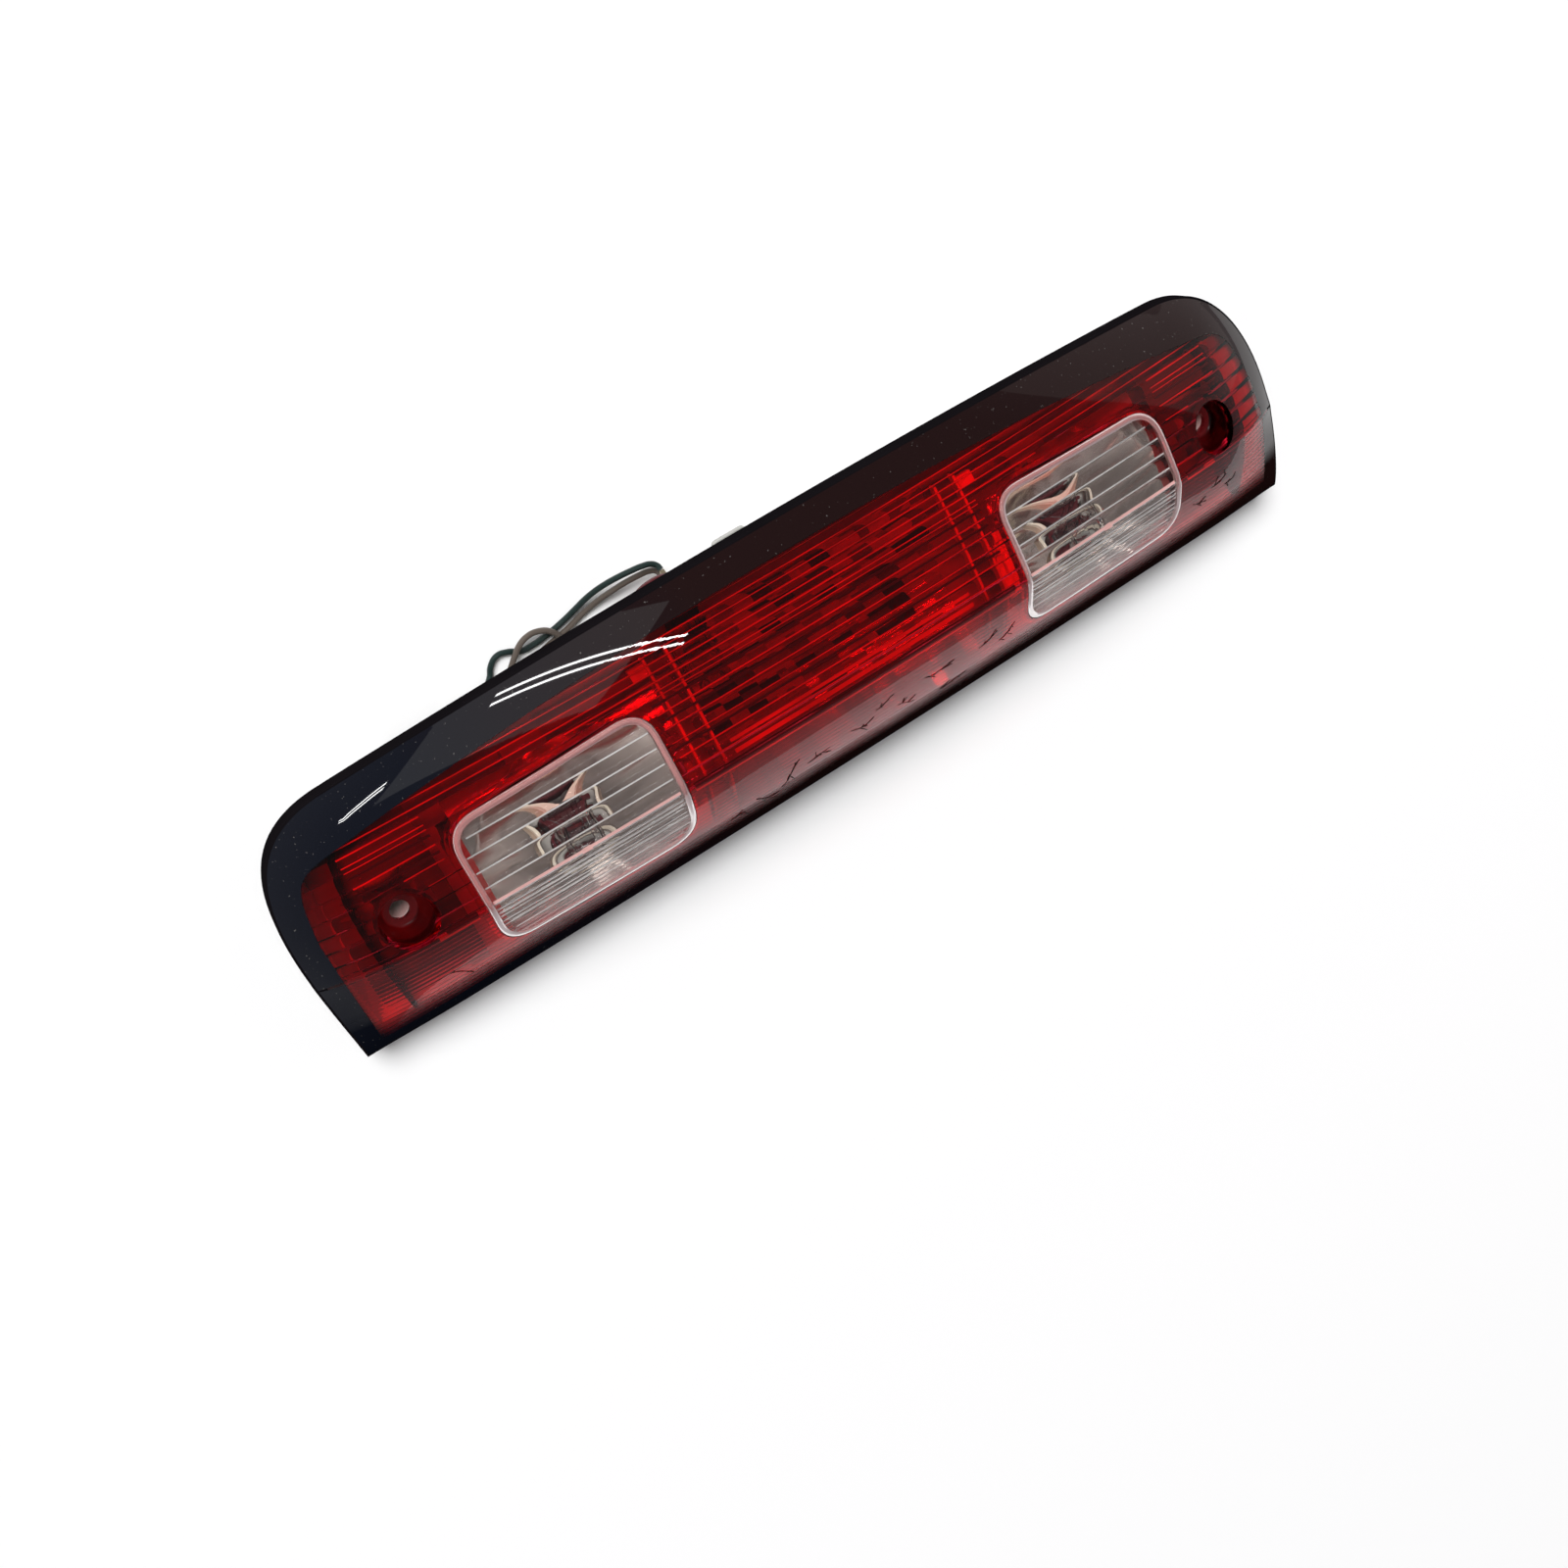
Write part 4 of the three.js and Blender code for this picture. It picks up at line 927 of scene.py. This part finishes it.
# ---------------- clear windows
def make_window(side, word):
    """Plate with flutes underneath, and a rounded rim that stands a little proud of the lens."""
    ys = np.unique(np.concatenate([np.linspace(-40, -12, 110), np.linspace(-15, 26, 130)]))
    x, y = np.meshgrid(side_span(side, 68, 156, 40), ys)
    z = lens_z(x, y)
    up = y - ridge_y(x)
    flutes = np.where(up > 0.5, 0.8 * bumps(up, WINDOW_FLUTE), 0.3 * bumps(up, WINDOW_FINE))
    solid = layered(x, y, z - 0.05, z - WINDOW_T - flutes)
    plate = make_object("window_plate_" + word, *solid, CLEAR)
    carve(plate, prism(window_outline(side, -2.0), 0, ABOVE_ALL), operation="INTERSECT")

    profile = (
        (0, -2.9), (0, 0.1), (0.3, 0.4), (0.9, 0.52), (1.5, 0.4), (2.0, 0.1), (2.15, 0), (2.15, -2.9),
    )
    rings = []
    for inwards, rise in profile:
        loop = window_outline(side, -inwards)
        rings.append(np.column_stack([loop, lens_z(*loop.T) + rise]))
    rim = make_object("window_rim_" + word, *sweep(np.stack(rings, 1)[:, ::-1]), RIM_CLEAR, 50)
    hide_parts("window_" + word)


def make_gate(side, word):
    """Small round stub on the crease of a window, where the plastic was let in."""
    gate_x, steps = 112.5, 20
    centre = np.array([side * gate_x, float(ridge_y(gate_x)) + 0.4])
    profile = ((2.0, 0.0), (1.7, 0.5), (1.0, 0.85), (0.3, 0.95))
    points, faces = [], []
    for corner in profile:
        for a in turns(steps):
            x, y, rise = spoke(centre, a, [corner])[0]
            points.append((x, y, float(lens_z(x, y)) + rise))
    for start in range(0, len(points) - steps, steps):
        for i in range(steps):
            a, b = start + i, start + (i + 1) % steps
            faces.append((a, b, b + steps, a + steps))
    faces.append(tuple(range(len(points) - steps, len(points))))
    gate = make_object("window_gate_" + word, points, faces, CLEAR, 60)


def make_joint_lines(side, word):
    """Frosted edges between the flutes of a window, and a pale line along the crease that is a painted
    highlight.
    """
    depth, crease = 0.3, 0.3
    frosted, painted_highlight = [], []
    offsets = [k * WINDOW_FLUTE for k in range(1, 7)] + [crease, -3.0, -5.0, -9.0, -11.0, -15.0]
    for offset in offsets:
        run = []
        for x in np.linspace(WINDOW["inner"] + WINDOW_FREE, WINDOW["outer"] - WINDOW_FREE, 24):
            y = float(ridge_y(x)) + offset
            if inside_window(x, y):
                run.append((side * x, y, float(lens_z(x, y)) - WINDOW_T - 0.05))
        # the line along the crease is a painted highlight
        if len(run) > 3 and offset == crease:
            painted_highlight.append(slab(run[::side], depth, 0.45, 1, (0, 1, 0)))
        elif len(run) > 3:
            half_width = 0.25 if offset > 0 else 0.12
            frosted.append(slab(run[::side], depth, half_width, 1, (0, 1, 0)))
    for name, parts, material in (("lines", frosted, FROSTED), ("crease", painted_highlight, CREASE_PAINTED_HIGHLIGHT)):
        lines = make_object("window_" + name + "_" + word, *join_parts(parts), material, 40)


def inside_window(x, y):
    """Whether a place at +X is inside the window's outline, with its corners cut off."""
    w = WINDOW
    share = (x - w["inner"]) / (w["outer"] - w["inner"])
    top = mix(w["high_inner"], w["high_outer"], share)
    corner = max(0.0, 7.5 - min(x - w["inner"], w["outer"] - x))
    return w["low"] + WINDOW_FREE + corner < y < top - WINDOW_FREE - corner


for side, word in SIDES:
    make_window(side, word)
    make_gate(side, word)
    make_joint_lines(side, word)


# ---------------- reflectors
def node_grid(node, columns, rows):
    """Places in plan over a CAD node's box."""
    low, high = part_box(node)
    xs = np.linspace(low.x / MM, high.x / MM, columns)
    ys = np.linspace(low.y / MM, high.y / MM, rows)
    return np.meshgrid(xs, ys)


def make_reflector(name, node, x, y, z, hole, material, smooth_angle=35):
    """Metallised tray with a hole for its bulb, in place of a CAD node."""
    tray = make_object(name, *layered(x, y, z, z - REFLECTOR_T), material, smooth_angle)
    carve(tray, tilted_cylinder(*hole), smooth_angle)
    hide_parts(node)


def make_brake_reflector():
    """Trough of flat facets: the corners of its cells are shaken a little."""
    wobble = 0.9
    x, y = node_grid("brake_reflector", 22, 13)
    trough = 13 + REFLECTOR_CURVE * (y + 2) ** 2 + 0.003 * x * x
    z = np.minimum(trough, lens_z(x, y) - 5.5)
    z[1:-1, 1:-1] += chance.uniform(-wobble, wobble, z[1:-1, 1:-1].shape)
    seat, lean = Vector((-43.5, 33.5, 17.5)), Vector((0, -0.8, 0.6))
    hole = (seat, lean, 4.7, 26, 9.8)
    make_reflector("brake_reflector_facets", "brake_reflector", x, y, z, hole, BRAKE_CHROME_PAINTED_REFLECTIONS, 4)


def make_cargo_reflector(side, word):
    """Pleated bowl, with a pale collar round the bulb."""
    pleats, pleat_height, pleat_start, pleat_growth = 11, 0.5, 14, 12
    node = "cargo_reflector_" + word
    x, y = node_grid(node, 60, 90)
    r2 = (np.abs(x) - CARGO_X) ** 2 + (y - CARGO_Y) ** 2
    angle = np.arctan2(y - CARGO_Y, np.abs(x) - CARGO_X)
    growth = np.clip((np.sqrt(r2) - pleat_start) / pleat_growth, 0, 1)
    bowl = 22.6 + REFLECTOR_CURVE * r2 + pleat_height * np.cos(pleats * angle) * growth
    z = np.minimum(bowl, lens_z(x, y) - 5)
    hole = (Vector((side * CARGO_X, CARGO_Y, 0)), UPRIGHT, 15, 45, 12.8)
    make_reflector(node + "_bright", node, x, y, z, hole, CHROME)

    centre = np.array([side * CARGO_X, CARGO_Y])
    profile = ((14.2, 24.6), (14.2, 26.6), (13.2, 27.0), (13.2, 24.6))
    sections = np.array([spoke(centre, a, profile) for a in turns(40)])
    collar = make_object("cargo_collar_" + word, *sweep(sections[:, ::-1]), CREAM, 40)


make_brake_reflector()
for side, word in SIDES:
    make_cargo_reflector(side, word)


# ---------------- cracks in the lens
CRACK_R = 0.2
CRACK_LOW, CRACK_HIGH = -49.0, -20.0                    # Y of the band that has them
CRACK_STARTS = [
    (-60, -40), (-49, -37), (-38, -39), (-27, -34), (-8, -31), (3, -28), (13, -33), (25, -27),
    (33, -40), (50, -30), (60, -33), (158, -30), (168, -28), (176, -31), (-172, -33),
]


def crack_line(x, y, angle, steps):
    """Points of one nearly straight hairline."""
    points = [(x, y)]
    for _ in range(steps):
        angle += random.uniform(-0.35, 0.35)
        length = random.uniform(0.7, 2.2)
        x += length * math.cos(angle)
        y = min(CRACK_HIGH, max(CRACK_LOW, y + length * math.sin(angle)))
        points.append((x, y))
    return points


def make_cracks():
    """Branching hairline cracks in the band below the crease."""
    curve = bpy.data.curves.new("lens_cracks", "CURVE")
    curve.dimensions = "3D"
    curve.bevel_depth = CRACK_R * MM
    curve.bevel_resolution = 1
    for x, y in CRACK_STARTS:
        angle = random.uniform(-0.35, 0.35)
        main = crack_line(x, y, angle, random.randint(5, 9))
        lines = [main]
        for _ in range(3):
            fork = random.choice(main[1:-1])
            turn = random.choice((-1, 1)) * random.uniform(0.5, 1.1)
            lines.append(crack_line(*fork, angle + turn, random.randint(1, 3)))
        for points in lines:
            spline = curve.splines.new("POLY")
            spline.points.add(len(points) - 1)
            for point, (qx, qy) in zip(spline.points, points):
                point.co = (qx * MM, qy * MM, (float(lens_z(qx, qy)) + SURFACE_LIFT) * MM, 1)
                point.radius = random.uniform(0.5, 1.4)
    curve.materials.append(CRACK)
    cracks = add_object("lens_cracks", curve)
    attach(cracks, "lamp")


make_cracks()

# ---------------- carried-over CAD nodes
NODE_MATERIALS = {                  # by the start of the node's name
    "rear_housing": HOUSING, "body_gasket": FOAM, "socket_": MAROON, "seal_": SEAL,
    "bulb_glass_": GLASS, "bulb_base_": GLASS, "filament_": TUNGSTEN, "contact_": BRASS,
    "connector_": CONNECTOR,
}
for name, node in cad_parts.items():
    for start, material in NODE_MATERIALS.items():
        if name.startswith(start):
            node.data.materials.clear()
            node.data.materials.append(material)
    if not node.hide_render:
        shade(node, 38)


# ---------------- floor and light, in metres
FLOOR_HALF, FLOOR_BELOW = 6.0, 0.0002
HORIZON, ZENITH = (0.42, 0.41, 0.42, 1), (0.1, 0.098, 0.102, 1)
HAZE_PLACE, HAZE_TURN = Vector((-0.45, 1.0, 1.55)), math.atan2(1.1, -1.0)
TUBE_Z, TUBE_WIDTH, TUBE_POWER = 1.5, 0.008, 1.0            # power for each metre
TUBE_GAP = 0.028                                            # between the two tubes of a pair
TUBES = (                           # start, end, and how far the second tube shifts in X, in gaps
    ((0.13, 0.385), (-0.50, 1.10), 0.5),
    ((-0.98, 1.44), (-1.16, 1.60), 0.0),
)


def make_floor():
    """Plain pale floor, a little below the lamp."""
    n = Nodes("floor")
    n.set(Base_Color=(0.93, 0.93, 0.93), Roughness=0.7, Specular_IOR_Level=0.1)
    mesh = bpy.data.meshes.new("floor")
    corners = [(x * FLOOR_HALF, y * FLOOR_HALF, 0) for x, y in ((-1, -1), (1, -1), (1, 1), (-1, 1))]
    mesh.from_pydata(corners, [], [(0, 1, 2, 3)])
    mesh.materials.append(n.material)
    floor = add_object("floor", mesh)
    floor.location.z = -FLOOR_BELOW


def make_light(name, kind, location, target, energy, size, glossy=True, color=(1, 1, 1)):
    """Area light with a size of two lengths, or a sun whose size is an angle in degrees."""
    data = bpy.data.lights.new(name, kind)
    data.energy = energy
    data.color = color
    if kind == "AREA":
        data.shape = "RECTANGLE"
        data.size, data.size_y = size
    else:
        data.angle = math.radians(size)
    light = add_object(name, data)
    light.location = location
    aim = Vector(target) - Vector(location)
    light.rotation_euler = aim.to_track_quat("-Z", "Y").to_euler()
    light.visible_glossy = glossy
    light.visible_transmission = glossy
    return light


def make_tube(start, end):
    """Thin ceiling tube between two points."""
    along = end - start
    middle = (start + end) / 2
    power, size = TUBE_POWER * along.length, (along.length, TUBE_WIDTH)
    tube = make_light("tube", "AREA", middle, middle - UPRIGHT, power, size)
    tube.rotation_euler = (0, 0, math.atan2(along.y, along.x))


def make_lights():
    """Soft key light from behind, weak panel from the right, haze strip and two pairs of tubes."""
    origin = (0, 0, 0)
    make_light("key", "SUN", (-0.5, 1.7, 1.9), origin, 3.75, 30, glossy=False)
    warm = (1, 0.86, 0.82)
    make_light("panel", "AREA", (1.3, 0.25, 0.5), (0, 0.1, 0.1), 0.6, (0.9, 0.9), color=warm)
    haze = make_light("haze", "AREA", HAZE_PLACE, HAZE_PLACE - UPRIGHT, 0.8, (1.3, 0.34))
    haze.rotation_euler = (0, 0, HAZE_TURN)
    for gap in (0.0, TUBE_GAP):
        for (x0, y0), (x1, y1), lean in TUBES:
            start = Vector((x0 - lean * gap, y0 - gap, TUBE_Z))
            end = Vector((x1 - lean * gap, y1 - gap, TUBE_Z))
            make_tube(start, end)


def make_world():
    """Plain studio: pale at the horizon, dark overhead."""
    world = bpy.data.worlds.new("studio")
    bpy.context.scene.world = world
    world.use_nodes = True
    tree = world.node_tree
    coords = tree.nodes.new("ShaderNodeTexCoord")
    split = tree.nodes.new("ShaderNodeSeparateXYZ")
    ramp = tree.nodes.new("ShaderNodeValToRGB")
    tree.links.new(coords.outputs["Generated"], split.inputs[0])
    tree.links.new(split.outputs[2], ramp.inputs[0])
    tree.links.new(ramp.outputs[0], tree.nodes["Background"].inputs[0])
    ramp.color_ramp.elements[0].color = HORIZON
    ramp.color_ramp.elements[1].color = ZENITH
    ramp.color_ramp.elements[1].position = 0.7


make_floor()
make_world()
make_lights()

bpy.context.scene.view_settings.view_transform = "Standard"
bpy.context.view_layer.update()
